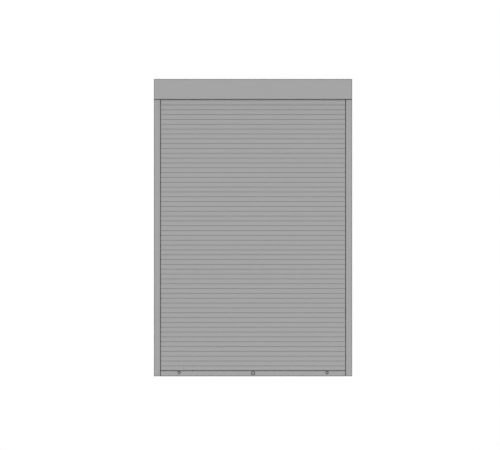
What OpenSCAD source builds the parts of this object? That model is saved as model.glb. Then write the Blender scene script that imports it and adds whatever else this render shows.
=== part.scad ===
// Exterior roller shutter for a door: a square box with a sprung winding shaft, two guides,
// a curtain of hollow slats, and a bottom rail with a key lock and two stops.
// Millimetres. X runs across the opening, +Y points to the wall and +Z is up.
// The origin is on the sill, midway between the guides and midway through the box's depth.

/* [Overall] */
// Width across the outer faces of both guides
shutter_w = 1600; // [1000:1:2400]
// Height from the sill to the top of the box
shutter_h = 2400; // [1500:1:3000]

/* [Box] */
// Height of the box
box_h = 165; // [155:1:205]
// Depth of the box from its front to the wall
box_d = 165; // [155:1:205]
// Thickness of the rolled aluminium sheet
sheet_t = 1.3; // [1:0.1:2]
// Outer radius of the bends in the sheet
bend_r = 3; // [2.5:0.1:4]
// Height of the return lip behind the front cover
lip_h = 15; // [8:1:25]
// Distance from the wall to the front edge of the curtain slot
slot_d = 32.5; // [31:0.5:40]
// Height of the hem along the curtain slot
hem_h = 14; // [10:1:20]
// Gap between the sheets and the pieces that they sit on
seat_gap = 0.2; // [0.1:0.05:0.4]
// Inset of the screws from the ends of the box
fixing_inset = 9; // [7:0.5:12]
// Radius of the flush screw heads in the sheet
flush_head_r = 3; // [2.5:0.1:4]
// Radius of the screw shanks in the sheet
flush_shank_r = 1.6; // [1.2:0.1:2]
// How far the screws reach past the rims that they hold
flush_out = 1; // [0.5:0.1:2]
// Clearance of each screw in its hole
screw_gap = 0.05; // [0.03:0.01:0.1]

/* [Slot brush] */
// Wall thickness of the holder
brush_wall = 1.5; // [1:0.1:2]
// Height of the holder
brush_h = 7; // [6:0.5:9]
// How far the holder reaches down over the hem
brush_grip = 5; // [4:0.5:6]
// Gap between the holder and the hem
brush_play = 0.15; // [0.1:0.05:0.3]
// Thickness of the pile
pile_t = 2.4; // [1.5:0.1:3]
// Drop of the pile below the top of the hem
pile_drop = 1; // [0.5:0.1:2]
// Depth of the pile's root in the holder
pile_root = 0.5; // [0.3:0.1:1]
// Distance of the ends of the brush from the inner edges of the guides' lips
brush_inset = 5; // [4:0.5:8]

/* [End caps] */
// Thickness of each plate
cap_t = 3.5; // [3:0.5:5]
// Depth of the rim behind each plate
rim_d = 16; // [13:1:18]
// Thickness of the rim
rim_t = 2.5; // [2:0.5:4]
// Radius of the boss that holds the bearing
boss_r = 20; // [17:0.5:26]
// Length of the spigot in the top of each guide
spigot_l = 40; // [20:1:80]
// Height of the shelf on top of each guide
shelf_h = 5; // [3:0.5:8]
// Wall thickness of the spigots
spigot_wall = 3; // [2:0.5:4]
// How far the boss stands past the bearing
boss_proud = 0.5; // [0.3:0.1:1]

/* [Guides] */
// Width of each guide across its front
guide_w = 53; // [52:0.5:70]
// Depth of each guide from its front to the wall
guide_d = 22; // [22:0.5:27]
// Wall thickness of the guides
guide_wall = 1.6; // [1.2:0.1:2.2]
// Width of the closed outer chamber with its walls
chamber_w = 21.6; // [19:0.2:22]
// Width of the mouth between the two lips
mouth_w = 12.6; // [12.4:0.1:13.4]
// Width of the lips that hold the seals
lip_w = 8; // [7:0.5:9]
// Radius of the fixing holes in the outer wall
fix_r = 3.25; // [2.5:0.25:5]
// Radius of the access holes in the inner web
access_r = 6.5; // [5.5:0.5:8]
// Height of the lowest fixing hole, and drop of the highest one below the guide's top
fix_z = 150; // [100:5:250]
// Height of the plugs in the foot of the guides
foot_plug_h = 12; // [8:0.5:15]
// Wall thickness of the foot plugs
foot_plug_wall = 2.5; // [2:0.1:3]
// Floor thickness of the foot plugs
foot_plug_floor = 3; // [2:0.5:4]

/* [Curtain inlets] */
// Thickness of the cheeks
inlet_t = 1.5; // [1:0.1:2]
// Depth of the cheeks in the guide
inlet_l = 28; // [20:1:40]
// Rise of the rear cheek above the guide
inlet_rise = 12; // [8:1:14]
// Radius of the flare on the front cheek
flare_r = 8; // [6:0.5:9]
// Angle of the flare
flare_a = 60; // [40:5:75]
// Gap between the cheeks and the guide's lip and web
inlet_gap = 0.3; // [0.2:0.05:0.5]

/* [Guide seals] */
// Width of the foot in its groove
seal_foot_w = 4.2; // [3.4:0.1:4.6]
// Thickness of the foot
seal_foot_t = 1.1; // [0.8:0.1:1.3]
// Width of the neck between foot and lip
seal_neck_w = 2; // [1.4:0.1:2.4]
// Depth of the neck's groove
seal_neck_l = 1; // [0.8:0.1:1.2]
// How far each lip shows past the edge of the guide
seal_show = 3; // [2:0.5:6]
// Thickness of the lip
seal_lip_t = 0.7; // [0.5:0.1:0.9]
// Gap between the root of the lip and the guide
seal_root_gap = 0.1; // [0.05:0.05:0.2]
// Gap between the lip and the bottom rail
seal_run_gap = 0.4; // [0.3:0.05:0.6]
// Gap between each seal and its groove
seal_play = 0.2; // [0.1:0.05:0.3]

/* [Slats] */
// Pitch of the slats
slat_pitch = 39; // [37:0.5:45]
// Overall thickness of a slat
slat_t = 8.5; // [8:0.1:9]
// Thickness of the skins
slat_wall = 0.7; // [0.5:0.05:0.9]
// Gap between closed slats
slat_gap = 0.4; // [0.35:0.05:0.8]
// Hollow of the outer face
front_sag = 0.8; // [0.4:0.1:1]
// Arch of the face towards the wall
rear_sag = 2.4; // [1.8:0.1:2.6]
// Radius of the long edges
edge_r = 1.2; // [0.8:0.1:1.4]
// How far the slats reach into each guide
slat_in = 22; // [18:0.5:23]
// Offset of the hook from the middle of the slat
hook_y = -0.7; // [-0.9:0.1:-0.5]
// Thickness of the hook's neck
neck_t = 1.2; // [0.8:0.1:1.4]
// Height of the hook's neck
neck_h = 3.4; // [3:0.1:4]
// Width of the hook's head
head_w = 3.4; // [2.8:0.1:3.6]
// Height of the hook's head
head_h = 1.6; // [1.2:0.1:1.8]
// Gap between the hook and its pocket on each side
hook_play = 0.6; // [0.4:0.05:0.7]
// Thickness of the lips under the pocket
pocket_lip = 1.4; // [1:0.1:1.8]
// Height of the pocket
pocket_h = 4.8; // [4.4:0.1:6]
// Radius of the corners in the hollow
hollow_r = 0.5; // [0.3:0.1:0.8]

/* [Bottom rail] */
// Height of the rail with its share of the joint above
rail_h = 45; // [44:0.5:60]
// Thickness of the rail
rail_t = 9; // [8.8:0.1:9.2]
// Wall thickness of the rail
rail_wall = 1.3; // [1.1:0.1:1.5]
// Height of the open joint under the lowest slat
rail_joint = 2.8; // [1.5:0.1:3.2]
// Clearance of the rail's skirts above the sill
skirt_z = 1; // [0.5:0.1:2]
// Height of the seal groove
seal_groove_h = 7; // [6:0.1:7.6]
// Width of the mouth of the seal groove
seal_mouth_w = 4; // [3:0.1:4.4]
// Width of the seal groove
seal_groove_w = 6.2; // [5.5:0.1:6.6]
// Height of the lips at the mouth of the seal groove
seal_mouth_h = 2.4; // [1.5:0.1:3]
// Thickness of the end plugs' plates
plug_plate_t = 2; // [1:0.1:3]
// Length of the end plugs inside the rail
plug_l = 12; // [8:1:30]
// Radius of the seal's lower edges
rail_seal_r = 1; // [0.5:0.1:1.4]

/* [Stops] */
// Distance of each stop from the edge of its guide
stop_inset = 150; // [100:1:300]
// Height of the stops above the sill
stop_z = 29.5; // [28:0.5:32]
// Radius of the stop buttons
stop_r = 7.5; // [6:0.5:9]
// Length of the stop buttons
stop_l = 25; // [22:0.5:30]
// Radius of the rounded edge on the front of the buttons
stop_round = 1; // [0.8:0.1:2]
// Radius of the rubber pads
stop_pad_r = 12.5; // [10:0.5:13]
// Thickness of the rubber pads
stop_pad_t = 2; // [1.5:0.1:3]
// Radius of the stop screws
stop_screw_r = 2; // [1.6:0.1:2.4]
// Thickness of the stop screws' heads
stop_head_t = 3; // [2:0.1:3.5]
// Depth of the heads' seats below the front of the buttons
stop_seat = 4.5; // [4:0.1:8]
// Gap around the sunk heads
stop_head_gap = 0.4; // [0.2:0.1:0.6]

/* [Lock] */
// Height of the lock's axis above the sill
lock_z = 25; // [24.8:0.1:25.4]
// Outer radius of the rosette
rosette_r = 16; // [14.5:0.1:17]
// Thickness of the rosette
rosette_t = 3; // [2:0.1:5]
// Bevel of the rosette's rim
rosette_bevel = 1; // [0.5:0.1:1.5]
// Thickness of the rosette over its screw holes
rosette_skin = 1; // [0.8:0.1:1.5]
// Radius of the barrel
barrel_r = 10.5; // [9.5:0.1:10.8]
// How far the barrel stands out of the rosette
barrel_proud = 1; // [0.5:0.1:3]
// Radius of the turning key plug
key_plug_r = 8; // [6:0.1:8.5]
// How far the key plug stands out of the barrel
key_proud = 0.4; // [0.2:0.1:1]
// Radius of the spindle behind the key plug
spindle_r = 3; // [2:0.1:4]
// Width of the keyhole
keyhole_w = 1.8; // [1:0.1:2.5]
// Height of the keyhole
keyhole_h = 8; // [5:0.1:9]
// Depth of the keyhole
keyhole_d = 3.5; // [2:0.1:4]
// Thickness of the plate on the inner side
backplate_t = 2; // [1.5:0.1:3]
// Radius of the lock screws
lock_screw_r = 1.5; // [1.2:0.1:1.7]
// Thickness of the lock screws' heads
lock_head_t = 1.6; // [1:0.1:2]
// Clearance of fixed pieces in plain holes
hole_fit = 0.1; // [0.05:0.05:0.2]
// Running clearance of turning pieces
run_gap = 0.06; // [0.03:0.01:0.1]
// Gaps at the ends of the key plug, the barrel and the spindle
core_gap = 0.2; // [0.15:0.05:0.3]
// Module of the pinion and racks
gear_m = 1; // [0.95:0.01:1.02]
// Play between the pinion and the racks
backlash = 0.3; // [0.2:0.05:0.4]
// Height of the bolt bars
bolt_h = 4.6; // [4:0.1:5]
// Thickness of the bolt bars
bolt_t = 5; // [4:0.1:5.4]
// Half the length of the racks
rack_half = 24; // [22:0.5:40]
// Play of the bolts in the end plugs on each side
bolt_play = 0.3; // [0.2:0.05:0.4]
// Gap between a thrown bolt and the guide's web
bolt_end_gap = 0.5; // [0.3:0.1:1]
// Thickness of the keepers
keeper_t = 5; // [3:0.1:6]
// Height of the keepers
keeper_h = 20; // [16:1:30]
// Gap between each keeper and its bolt
keeper_gap = 0.6; // [0.4:0.1:1]
// Width of the keepers
keeper_w = 8; // [6:0.5:9]
// Radius of the keeper rivets
keeper_rivet_r = 1.6; // [1.2:0.1:2]
// Thickness of the rivets' heads
rivet_head_t = 1.5; // [1:0.1:2]

/* [Winding shaft] */
// Width across the flats of the octagonal tube
tube_af = 40; // [38:1:60]
// Wall thickness of the tube
tube_wall = 1; // [0.6:0.1:1.5]
// Gap between the tube and the plugs in it
plug_gap = 0.1; // [0.05:0.05:0.2]
// Length of the plugs in the tube
tube_plug_l = 34; // [25:1:60]
// Thickness of the plugs' flanges
flange_t = 3; // [2:0.5:5]
// Distance of the tube's left end from the box's end plate
idler_room = 27; // [26:0.5:40]
// Distance of the tube's right end from the box's end plate
drive_room = 25; // [24.5:0.5:40]
// Radius of the screws in the tube
tube_screw_r = 2; // [1.5:0.1:2.5]
// Depth of the holes for these screws
tube_screw_l = 6; // [5:0.5:7]
// Thickness of the heads of these screws
tube_head_t = 1.8; // [1.2:0.1:2.4]
// Radius of the idler pin
pin_r = 6; // [5.5:0.1:6.2]
// Outer radius of the ball bearing
bearing_r = 14; // [13.8:0.1:15]
// Width of the ball bearing
bearing_w = 8; // [7:0.5:9]
// Inset of the bearing from the end plate
bearing_inset = 4; // [3:0.5:6]
// Distance of the pin's end from the end of its plug
pin_short = 3; // [1:0.5:10]
// Radius of the balls
ball_r = 2.3; // [2:0.1:2.4]
// Number of balls
balls = 7; // [5:1:9]
// Gap between the balls and their races
ball_gap = 0.12; // [0.08:0.01:0.2]
// Thickness of each race beside the balls
race_t = 2.3; // [2:0.1:2.5]

/* [Counterbalance] */
// Radius of the fixed axle
axle_r = 7; // [6:0.1:7.4]
// Side of the square end of the axle
axle_square = 9.6; // [8:0.1:9.8]
// Length of the axle inside the tube
axle_l = 384; // [330:1:500]
// Mean radius of the torsion spring
spring_r = 13; // [11.5:0.1:13.5]
// Radius of the spring wire
wire_r = 2; // [1.5:0.1:2.2]
// Play of the spring's legs in their holes
leg_play = 0.3; // [0.2:0.05:0.5]
// Turns of the spring
spring_turns = 30; // [20:1:40]
// Length of the coiled part of the spring
spring_l = 286; // [240:1:300]
// Radius of the spring anchor
anchor_r = 17; // [16:0.1:18]
// Length of the spring anchor and of the spring carrier
anchor_l = 18; // [14:0.5:30]
// Distance between the axle's bush and the spring anchor
bush_gap = 4; // [1:0.5:8]
// Width of the collar beyond the spring
collar_w = 6.5; // [5:0.5:10]
// Wall thickness of the collars
collar_t = 4; // [3:0.5:6]
// Gap between the collars and their neighbours
collar_gap = 0.4; // [0.3:0.05:0.6]
// Side of the axle bracket's plate
bracket_w = 60; // [54:1:80]
// Thickness of the axle bracket's plate
bracket_t = 4; // [3:0.5:4.5]
// Length of the axle bracket's socket
socket_l = 10; // [8:0.5:11]
// Outer radius of the socket
socket_r = 12; // [10.5:0.5:14]
// Spacing of the bracket screws
bracket_pitch = 44; // [40:1:48]
// Radius of the bracket screws
bracket_screw_r = 2.4; // [2:0.1:3]
// How far the bracket screws reach into the end cap
bracket_screw_in = 4.5; // [3:0.5:5]
// Thickness of the bracket screws' heads
bracket_head_t = 3; // [2:0.1:4]
// Thickness of the pad behind the bracket
pad_t = 3; // [2:0.5:4]
// Margin of the pad around the bracket
pad_margin = 2; // [1:0.5:4]

/* [Hangers] */
// Number of hanger straps
hangers = 4; // [2:1:6]
// Width of each strap
strap_w = 22; // [15:1:30]
// Thickness of each strap
strap_t = 0.6; // [0.4:0.1:0.8]
// Bend radius of the strap above the curtain
strap_bend_r = 30; // [22:1:32]
// How far each strap goes into its shoe
strap_in = 4; // [3:0.5:6]
// Straight length of each strap above its shoe
strap_rise = 1; // [0.5:0.1:3]
// Gap between the straps and the corners of the tube
strap_gap = 0.35; // [0.3:0.05:0.6]
// Angle round the tube where the straps end
strap_end_a = 262; // [255:1:268]
// Height of the clips that hold the straps
clip_h = 5; // [4:0.5:6]
// Reach of the clips to the front of the shaft's axis
clip_front = 2.2; // [1.5:0.1:2.5]
// Reach of the clips to the rear of the shaft's axis
clip_rear = 8; // [6:0.1:9]
// How far the clip screws reach past the clips
clip_screw_in = 3; // [2:0.5:5]
// Height of the shoes on the top slat
shoe_h = 12.6; // [11.5:0.1:16]
// Thickness of the shoes
shoe_t = 7.2; // [6.8:0.1:8]
// Length of the shoes along the slat
shoe_l = 40; // [25:1:60]

/* [Hidden] */
// Cutters reach past the faces that they cut, and joined shapes sink into each other
past = 1;
sink = 0.5;

// Fits of pressed pieces, of the bearing in its boss and of shoulders along the shaft
press_gap = 0.02;
bearing_fit = 0.03;
shoulder_gap = 0.1;

// Radius of screw heads as a multiple of their shanks' radius, and of rivet heads
head_ratio = 1.8;
rivet_ratio = 2;

wall_y = box_d / 2;
half_w = shutter_w / 2;
guide_h = shutter_h - box_h;
guide_y = wall_y - guide_d;
curtain_y = wall_y - guide_d / 2;
slot_y = wall_y - slot_d;
axle_z = shutter_h - box_h / 2;
cap_in = half_w - cap_t;
channel_x = half_w - chamber_w;
mouth_x = half_w - guide_w;
slat_end = mouth_x + slat_in;

// Slats: enough to reach into the box by a share of a slat, shared out among the rail and the named runs
lower_slats = 2;
runs = 14;
slat_reach = 0.3;
slats = ceil((guide_h - rail_h) / slat_pitch + slat_reach);
curtain_top = rail_h + slats * slat_pitch;
slat_b = slat_gap / 2;
slat_top = slat_pitch - slat_gap / 2;
slat_mid = slat_pitch / 2;
half_slat = slat_mid - slat_b;
front_r = (half_slat ^ 2 + front_sag ^ 2) / (2 * front_sag);
rear_r = (half_slat ^ 2 + rear_sag ^ 2) / (2 * rear_sag);
front_c = -slat_t / 2 + front_sag - front_r;
rear_c = slat_t / 2 - rear_r;
pocket_top = slat_b + pocket_lip + pocket_h;

// Rail: the chamber that holds the lock bars, and its open travel
rail_top = rail_h - rail_joint;
rail_l = 2 * (slat_end - plug_plate_t);
chamber_z0 = skirt_z + seal_groove_h + rail_wall;
chamber_z1 = rail_top - rail_wall;
rail_front = rail_t / 2;
stop_x = mouth_x - stop_inset;
stop_front = -rail_front - stop_pad_t - stop_l;
stop_head_r = head_ratio * stop_screw_r;

// Lock: a pinion between two racks throws both bolts by a quarter turn of its pitch circle
pinion_n = 16;
pitch_r = gear_m * pinion_n / 2;
addendum = 0.8 * gear_m;
dedendum = 1.25 * gear_m;
pressure = 20;
base_r = pitch_r * cos(pressure);
throw = pitch_r * PI / 2;
bolt_tip = channel_x - bolt_end_gap - throw;
bolt_z0 = pitch_r + dedendum;
barrel_front = rail_front + rosette_t + barrel_proud;
barrel_back = bolt_t / 2 + 2 * core_gap;
lock_screw_x = (barrel_r + rosette_r) / 2;

// Shaft: places along X of the pieces on it
tube_x0 = -(cap_in - idler_room);
tube_x1 = cap_in - drive_room;
tube_in = tube_af - 2 * tube_wall;
plug_af = tube_in - 2 * plug_gap;
tube_corner_r = tube_af / 2 / cos(22.5);
bearing_x0 = bearing_inset - cap_in;
bearing_x1 = bearing_x0 + bearing_w;
ball_ring_r = (bearing_r + pin_r) / 2;
bracket_x1 = cap_in - pad_t;
bracket_x0 = bracket_x1 - bracket_t;
socket_x = bracket_x0 - socket_l;
axle_x0 = tube_x1 - axle_l;
anchor_x1 = tube_x1 - tube_plug_l;
anchor_x0 = anchor_x1 - anchor_l;
wire_leg = 3 * wire_r;
coil_x1 = anchor_x0 - wire_leg;
coil_x0 = coil_x1 - spring_l;
carrier_x1 = coil_x0 - wire_leg;
carrier_x0 = carrier_x1 - anchor_l;

// Hangers: a strap leaves the top slat upright, bends, and lies on the tube from behind
strap_y = curtain_y + hook_y;
strap_z = curtain_top + slat_b + shoe_h + strap_rise;
strap_wrap_r = tube_corner_r + strap_gap + strap_t / 2;
bend_c = [strap_y - strap_bend_r, strap_z];
wrap_c = [0, axle_z];
strap_d = norm(wrap_c - bend_c);
strap_a = atan2(wrap_c[1] - bend_c[1], wrap_c[0] - bend_c[0]) - acos((strap_bend_r - strap_wrap_r) / strap_d);
hanger_margin = 0.15;
hanger_pitch = 2 * slat_end / (hangers + hanger_margin);

// Screws in the sheet: length under the head, and places along the cover as shares of the box's depth
flush_l = rim_t + sheet_t + flush_out;
cover_screw_at = [-0.36, -0.06, 0.2];

// Chords of round pieces, of small round pieces, of each turn of the spring and of its wire
round_fn = 48;
small_fn = 32;
coil_fn = 8;
wire_fn = 6;

// Points on an arc, with both ends
function arc(c, r, a0, a1, n) =
  [for (i = [0:n]) let (a = a0 + (a1 - a0) * i / n) c + r * [cos(a), sin(a)]];

// Points on an arc, without its ends
function mid_arc(c, r, a0, a1, n) =
  [for (i = [1:n - 1]) let (a = a0 + (a1 - a0) * i / n) c + r * [cos(a), sin(a)]];

// Rectangle with round corners, from its lower left corner p to its upper right corner q
function round_rect(p, q, r) = concat(
  arc([p[0] + r, p[1] + r], r, 180, 270, 4),
  arc([q[0] - r, p[1] + r], r, 270, 360, 4),
  arc([q[0] - r, q[1] - r], r, 0, 90, 4),
  arc([p[0] + r, q[1] - r], r, 90, 180, 4)
);

// First slat of a run, where the lowest slats belong to the rail
function run_start(i) = lower_slats + ceil((i - 1) * (slats - lower_slats) / runs);

// Outline of a slat's section between two heights, t inside its faces
function slat_outline(t, z0, z1, r) =
  let (
    rf = front_r + t,
    rr = rear_r - t,
    f0 = asin((z0 + r - slat_mid) / rf),
    f1 = asin((z1 - r - slat_mid) / rf),
    r0 = asin((z0 + r - slat_mid) / rr),
    r1 = asin((z1 - r - slat_mid) / rr),
    yf0 = front_c + rf * cos(f0),
    yf1 = front_c + rf * cos(f1),
    yr0 = rear_c + rr * cos(r0),
    yr1 = rear_c + rr * cos(r1)
  )
  concat(
    mid_arc([rear_c, slat_mid], rr, r0, r1, 8),
    arc([yr1 - r, z1 - r], r, 0, 90, 3),
    arc([yf1 + r, z1 - r], r, 90, 180, 3),
    mid_arc([front_c, slat_mid], rf, f1, f0, 5),
    arc([yf0 + r, z0 + r], r, 180, 270, 3),
    arc([yr0 - r, z0 + r], r, 270, 360, 3)
  );

// Extrude a section drawn in Y and Z along X
module from_x(x0, x1) {
  translate([x0, 0, 0]) rotate([90, 0, 90]) linear_extrude(x1 - x0) children();
}

// Round bar along X
module x_bar(x0, x1, r) {
  translate([x0, 0, 0]) rotate([0, 90, 0]) cylinder(h = x1 - x0, r = r, $fn = round_fn);
}

// Octagonal bar along X, with a flat on top
module x_octagon(x0, x1, af) {
  translate([x0, 0, 0]) rotate([0, 90, 0]) rotate(22.5)
    cylinder(h = x1 - x0, r = af / 2 / cos(22.5), $fn = 8);
}

// Round bar along Y
module y_bar(y0, y1, r) {
  translate([0, y0, 0]) rotate([-90, 0, 0]) cylinder(h = y1 - y0, r = r, $fn = round_fn);
}

// A piece and its mirror image across the opening
module both_sides() {
  children();
  mirror([1, 0, 0]) children();
}

module on_axle() {
  translate([0, 0, axle_z]) children();
}

// Flush head and shank of a screw that enters the sheet along -Z from z = 0
module flush_screw(shank_l, grow) {
  slope = (flush_head_r - flush_shank_r) / sheet_t;
  translate([0, 0, -sheet_t]) cylinder(
    h = sheet_t + grow, r1 = flush_shank_r + grow, r2 = flush_head_r + grow + slope * grow, $fn = round_fn
  );
  translate([0, 0, -shank_l - grow]) cylinder(h = shank_l, r = flush_shank_r + grow, $fn = round_fn);
}

// Places of the screws that hold the casing, on the top of the box and on its back
module casing_screw_places() {
  both_sides() {
    for (y = [-box_d / 4, box_d / 4])
      translate([half_w - fixing_inset, y, shutter_h]) children();
    for (z = [box_h / 3, box_h * 2 / 3])
      translate([half_w - fixing_inset, wall_y, guide_h + z]) rotate([-90, 0, 0]) children();
  }
}

// Places of the screws that hold the front cover, on the underside of the box
module cover_screw_places() {
  both_sides()
    for (share = cover_screw_at)
      translate([half_w - fixing_inset, share * box_d, guide_h]) rotate([180, 0, 0]) children();
}

// Box

module casing_back() {
  front = -wall_y + sheet_t + seat_gap;
  rear_bend = [wall_y - bend_r, shutter_h - bend_r];
  front_bend = [front + bend_r, shutter_h - bend_r];
  color("DarkGray") difference() {
    from_x(-half_w, half_w) polygon(concat(
      [[wall_y, guide_h]],
      arc(rear_bend, bend_r, 0, 90, 5),
      arc(front_bend, bend_r, 90, 180, 5),
      [[front, shutter_h - lip_h], [front + sheet_t, shutter_h - lip_h]],
      arc(front_bend, bend_r - sheet_t, 180, 90, 5),
      arc(rear_bend, bend_r - sheet_t, 90, 0, 5),
      [[wall_y - sheet_t, guide_h]]
    ));
    casing_screw_places() flush_screw(flush_l + sink, screw_gap);
  }
}

module front_cover() {
  corner = [-wall_y + bend_r, guide_h + bend_r];
  hem = [slot_y - bend_r, guide_h + bend_r];
  color("DarkGray") difference() {
    from_x(-half_w, half_w) polygon(concat(
      [[-wall_y, shutter_h]],
      arc(corner, bend_r, 180, 270, 5),
      arc(hem, bend_r, 270, 360, 5),
      [[slot_y, guide_h + hem_h], [slot_y - sheet_t, guide_h + hem_h]],
      arc(hem, bend_r - sheet_t, 360, 270, 5),
      arc(corner, bend_r - sheet_t, 270, 180, 5),
      [[-wall_y + sheet_t, shutter_h]]
    ));
    // The hem ends between the plates of the end caps
    both_sides() translate([cap_in - seat_gap, slot_y - bend_r, guide_h - past])
      cube([cap_t + seat_gap + past, bend_r + past, hem_h + 2 * past]);
    cover_screw_places() flush_screw(flush_l + sink, screw_gap);
  }
}

// Outline of an end cap inside the sheets, with a step for the casing's lip
function cap_outline(inset) =
  let (
    y0 = -wall_y + sheet_t + seat_gap + inset,
    y1 = wall_y - sheet_t - seat_gap - inset,
    z0 = guide_h + sheet_t + seat_gap + inset,
    z1 = shutter_h - sheet_t - seat_gap - inset,
    lip_y = -wall_y + 2 * sheet_t + 2 * seat_gap + inset,
    lip_z = shutter_h - lip_h - 2 * seat_gap - inset,
    r = bend_r
  )
  concat(
    arc([y0 + r, z0 + r], r, 180, 270, 4),
    [[y1, z0]],
    arc([y1 - r, z1 - r], r, 0, 90, 4),
    arc([lip_y + r, z1 - r], r, 90, 180, 4),
    [[lip_y, lip_z], [y0, lip_z]]
  );

// Right end cap without its boss: plate, rim, shelf on the guide and spigot in the guide
module end_cap_shell() {
  shelf_y = guide_y + seat_gap;
  spigot_y = guide_y + guide_wall + seat_gap;
  spigot_x = channel_x + guide_wall + seat_gap;
  spigot_w = chamber_w - 2 * guide_wall - 2 * seat_gap;
  spigot_d = guide_d - 2 * guide_wall - 2 * seat_gap;
  difference() {
    union() {
      from_x(cap_in, half_w) polygon(cap_outline(0));
      difference() {
        from_x(cap_in - rim_d, cap_in + sink) polygon(cap_outline(0));
        from_x(cap_in - rim_d - past, cap_in) polygon(cap_outline(rim_t));
      }
      translate([channel_x + 2 * seat_gap, shelf_y, guide_h])
        cube([chamber_w - 2 * seat_gap, wall_y - sheet_t - seat_gap - shelf_y, shelf_h]);
      translate([spigot_x, spigot_y, guide_h - spigot_l])
        cube([spigot_w, spigot_d, spigot_l + sink]);
      // Foot of the plate at the end of the curtain slot
      translate([cap_in, slot_y - bend_r + seat_gap, guide_h])
        cube([cap_t, shelf_y - slot_y + bend_r, shelf_h]);
    }
    // Room in the rim for the hem of the front cover
    translate([cap_in - rim_d - past, slot_y - bend_r, guide_h - past])
      cube([rim_d + past, bend_r + 2 * seat_gap, hem_h + past + sink]);
    // Hollow of the spigot
    translate([spigot_x + spigot_wall, spigot_y + spigot_wall, guide_h - spigot_l - past])
      cube([spigot_w - 2 * spigot_wall, spigot_d - 2 * spigot_wall, spigot_l]);
    casing_screw_places() flush_screw(flush_l + sink, screw_gap);
    cover_screw_places() flush_screw(flush_l + sink, screw_gap);
  }
}

module left_end_cap() {
  color("Gray") difference() {
    union() {
      mirror([1, 0, 0]) end_cap_shell();
      on_axle() x_bar(-cap_in - sink, bearing_x1 + boss_proud, boss_r);
    }
    on_axle() x_bar(bearing_x0 - shoulder_gap, bearing_x1 + past, bearing_r + bearing_fit);
  }
}

module bracket_screw_places() {
  for (y = [-1, 1], z = [-1, 1])
    translate([0, y * bracket_pitch / 2, z * bracket_pitch / 2]) children();
}

module right_end_cap() {
  pad_w = bracket_w + 2 * pad_margin;
  color("Gray") difference() {
    union() {
      end_cap_shell();
      on_axle() translate([bracket_x1, -pad_w / 2, -pad_w / 2]) cube([pad_t + sink, pad_w, pad_w]);
    }
    on_axle() bracket_screw_places()
      x_bar(bracket_x1 - past, bracket_x1 + bracket_screw_in + sink, bracket_screw_r + screw_gap);
  }
}

module box_screws() {
  color("Silver") {
    casing_screw_places() flush_screw(flush_l, 0);
    cover_screw_places() flush_screw(flush_l, 0);
  }
}

// Brush along the slot: a holder over the hem and a pile that reaches towards the slats
module slot_brush() {
  brush_end = mouth_x + lip_w - brush_inset;
  top = guide_h + hem_h;
  root_y = slot_y + brush_wall - pile_root;
  tip_y = curtain_y - rail_front - seal_run_gap;
  color("DimGray") from_x(-brush_end, brush_end) difference() {
    union() {
      translate([slot_y - sheet_t - brush_wall, top - brush_grip])
        square([sheet_t + 2 * brush_wall, brush_h]);
      translate([root_y, top - pile_drop - pile_t]) square([tip_y - root_y, pile_t]);
    }
    translate([slot_y - sheet_t - brush_play, top - brush_grip - past])
      square([sheet_t + 2 * brush_play, brush_grip + past + brush_play]);
  }
}

// Cheeks in the top of each guide that lead the slats from the roll into the channel
module curtain_inlets() {
  x0 = mouth_x + lip_w + inlet_gap;
  x1 = channel_x - inlet_gap;
  z0 = guide_h - inlet_l;
  front = guide_y + guide_wall + seat_gap;
  rear = wall_y - guide_wall - seat_gap;
  flare_c = [front - flare_r, guide_h];
  color("Black") both_sides() {
    from_x(x0, x1) polygon(concat(
      [[front, z0], [front + inlet_t, z0]],
      arc(flare_c, flare_r + inlet_t, 0, flare_a, 6),
      arc(flare_c, flare_r, flare_a, 0, 6)
    ));
    from_x(x0, x1) translate([rear - inlet_t, z0]) square([inlet_t, inlet_l + inlet_rise]);
  }
}

// Guides

// Section of the right guide in X and Y
module guide_section() {
  lip_y = curtain_y - mouth_w / 2;
  groove_x = mouth_x + lip_w / 2;
  foot_w = seal_foot_w + 2 * seal_play;
  foot_t = seal_foot_t + 2 * seal_play;
  neck_w = seal_neck_w + 2 * seal_play;
  difference() {
    translate([mouth_x, guide_y]) square([guide_w, guide_d]);
    translate([channel_x + guide_wall, guide_y + guide_wall])
      square([chamber_w - 2 * guide_wall, guide_d - 2 * guide_wall]);
    translate([mouth_x + lip_w, guide_y + guide_wall])
      square([guide_w - chamber_w - lip_w, guide_d - 2 * guide_wall]);
    translate([mouth_x - past, lip_y]) square([lip_w + 2 * past, mouth_w]);
    for (side = [0, 1])
      translate([0, side * 2 * curtain_y]) mirror([0, side]) {
        translate([groove_x - neck_w / 2, lip_y - seal_neck_l - sink])
          square([neck_w, seal_neck_l + sink + past]);
        translate([groove_x - foot_w / 2, lip_y - seal_neck_l - foot_t]) square([foot_w, foot_t]);
      }
  }
}

fix_pitch = (guide_h - 2 * fix_z) / 3;
keeper_z_left = lock_z + bolt_z0 + bolt_h + keeper_gap;
keeper_z_right = lock_z - bolt_z0 + keeper_gap;

// Right guide, with its rivet holes over a keeper that starts at keeper_z
module guide(keeper_z) {
  difference() {
    linear_extrude(guide_h) guide_section();
    for (i = [0:3])
      translate([0, curtain_y, fix_z + i * fix_pitch]) {
        x_bar(half_w - guide_wall - past, half_w + past, fix_r);
        x_bar(channel_x - past, channel_x + guide_wall + past, access_r);
      }
    for (z = [keeper_h / 4, keeper_h * 3 / 4])
      translate([0, curtain_y, keeper_z + z])
        x_bar(channel_x - past, channel_x + guide_wall + past, keeper_rivet_r + screw_gap);
  }
}

module left_guide() {
  color("DarkGray") mirror([1, 0, 0]) guide(keeper_z_left);
}

module right_guide() {
  color("DarkGray") guide(keeper_z_right);
}

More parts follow.
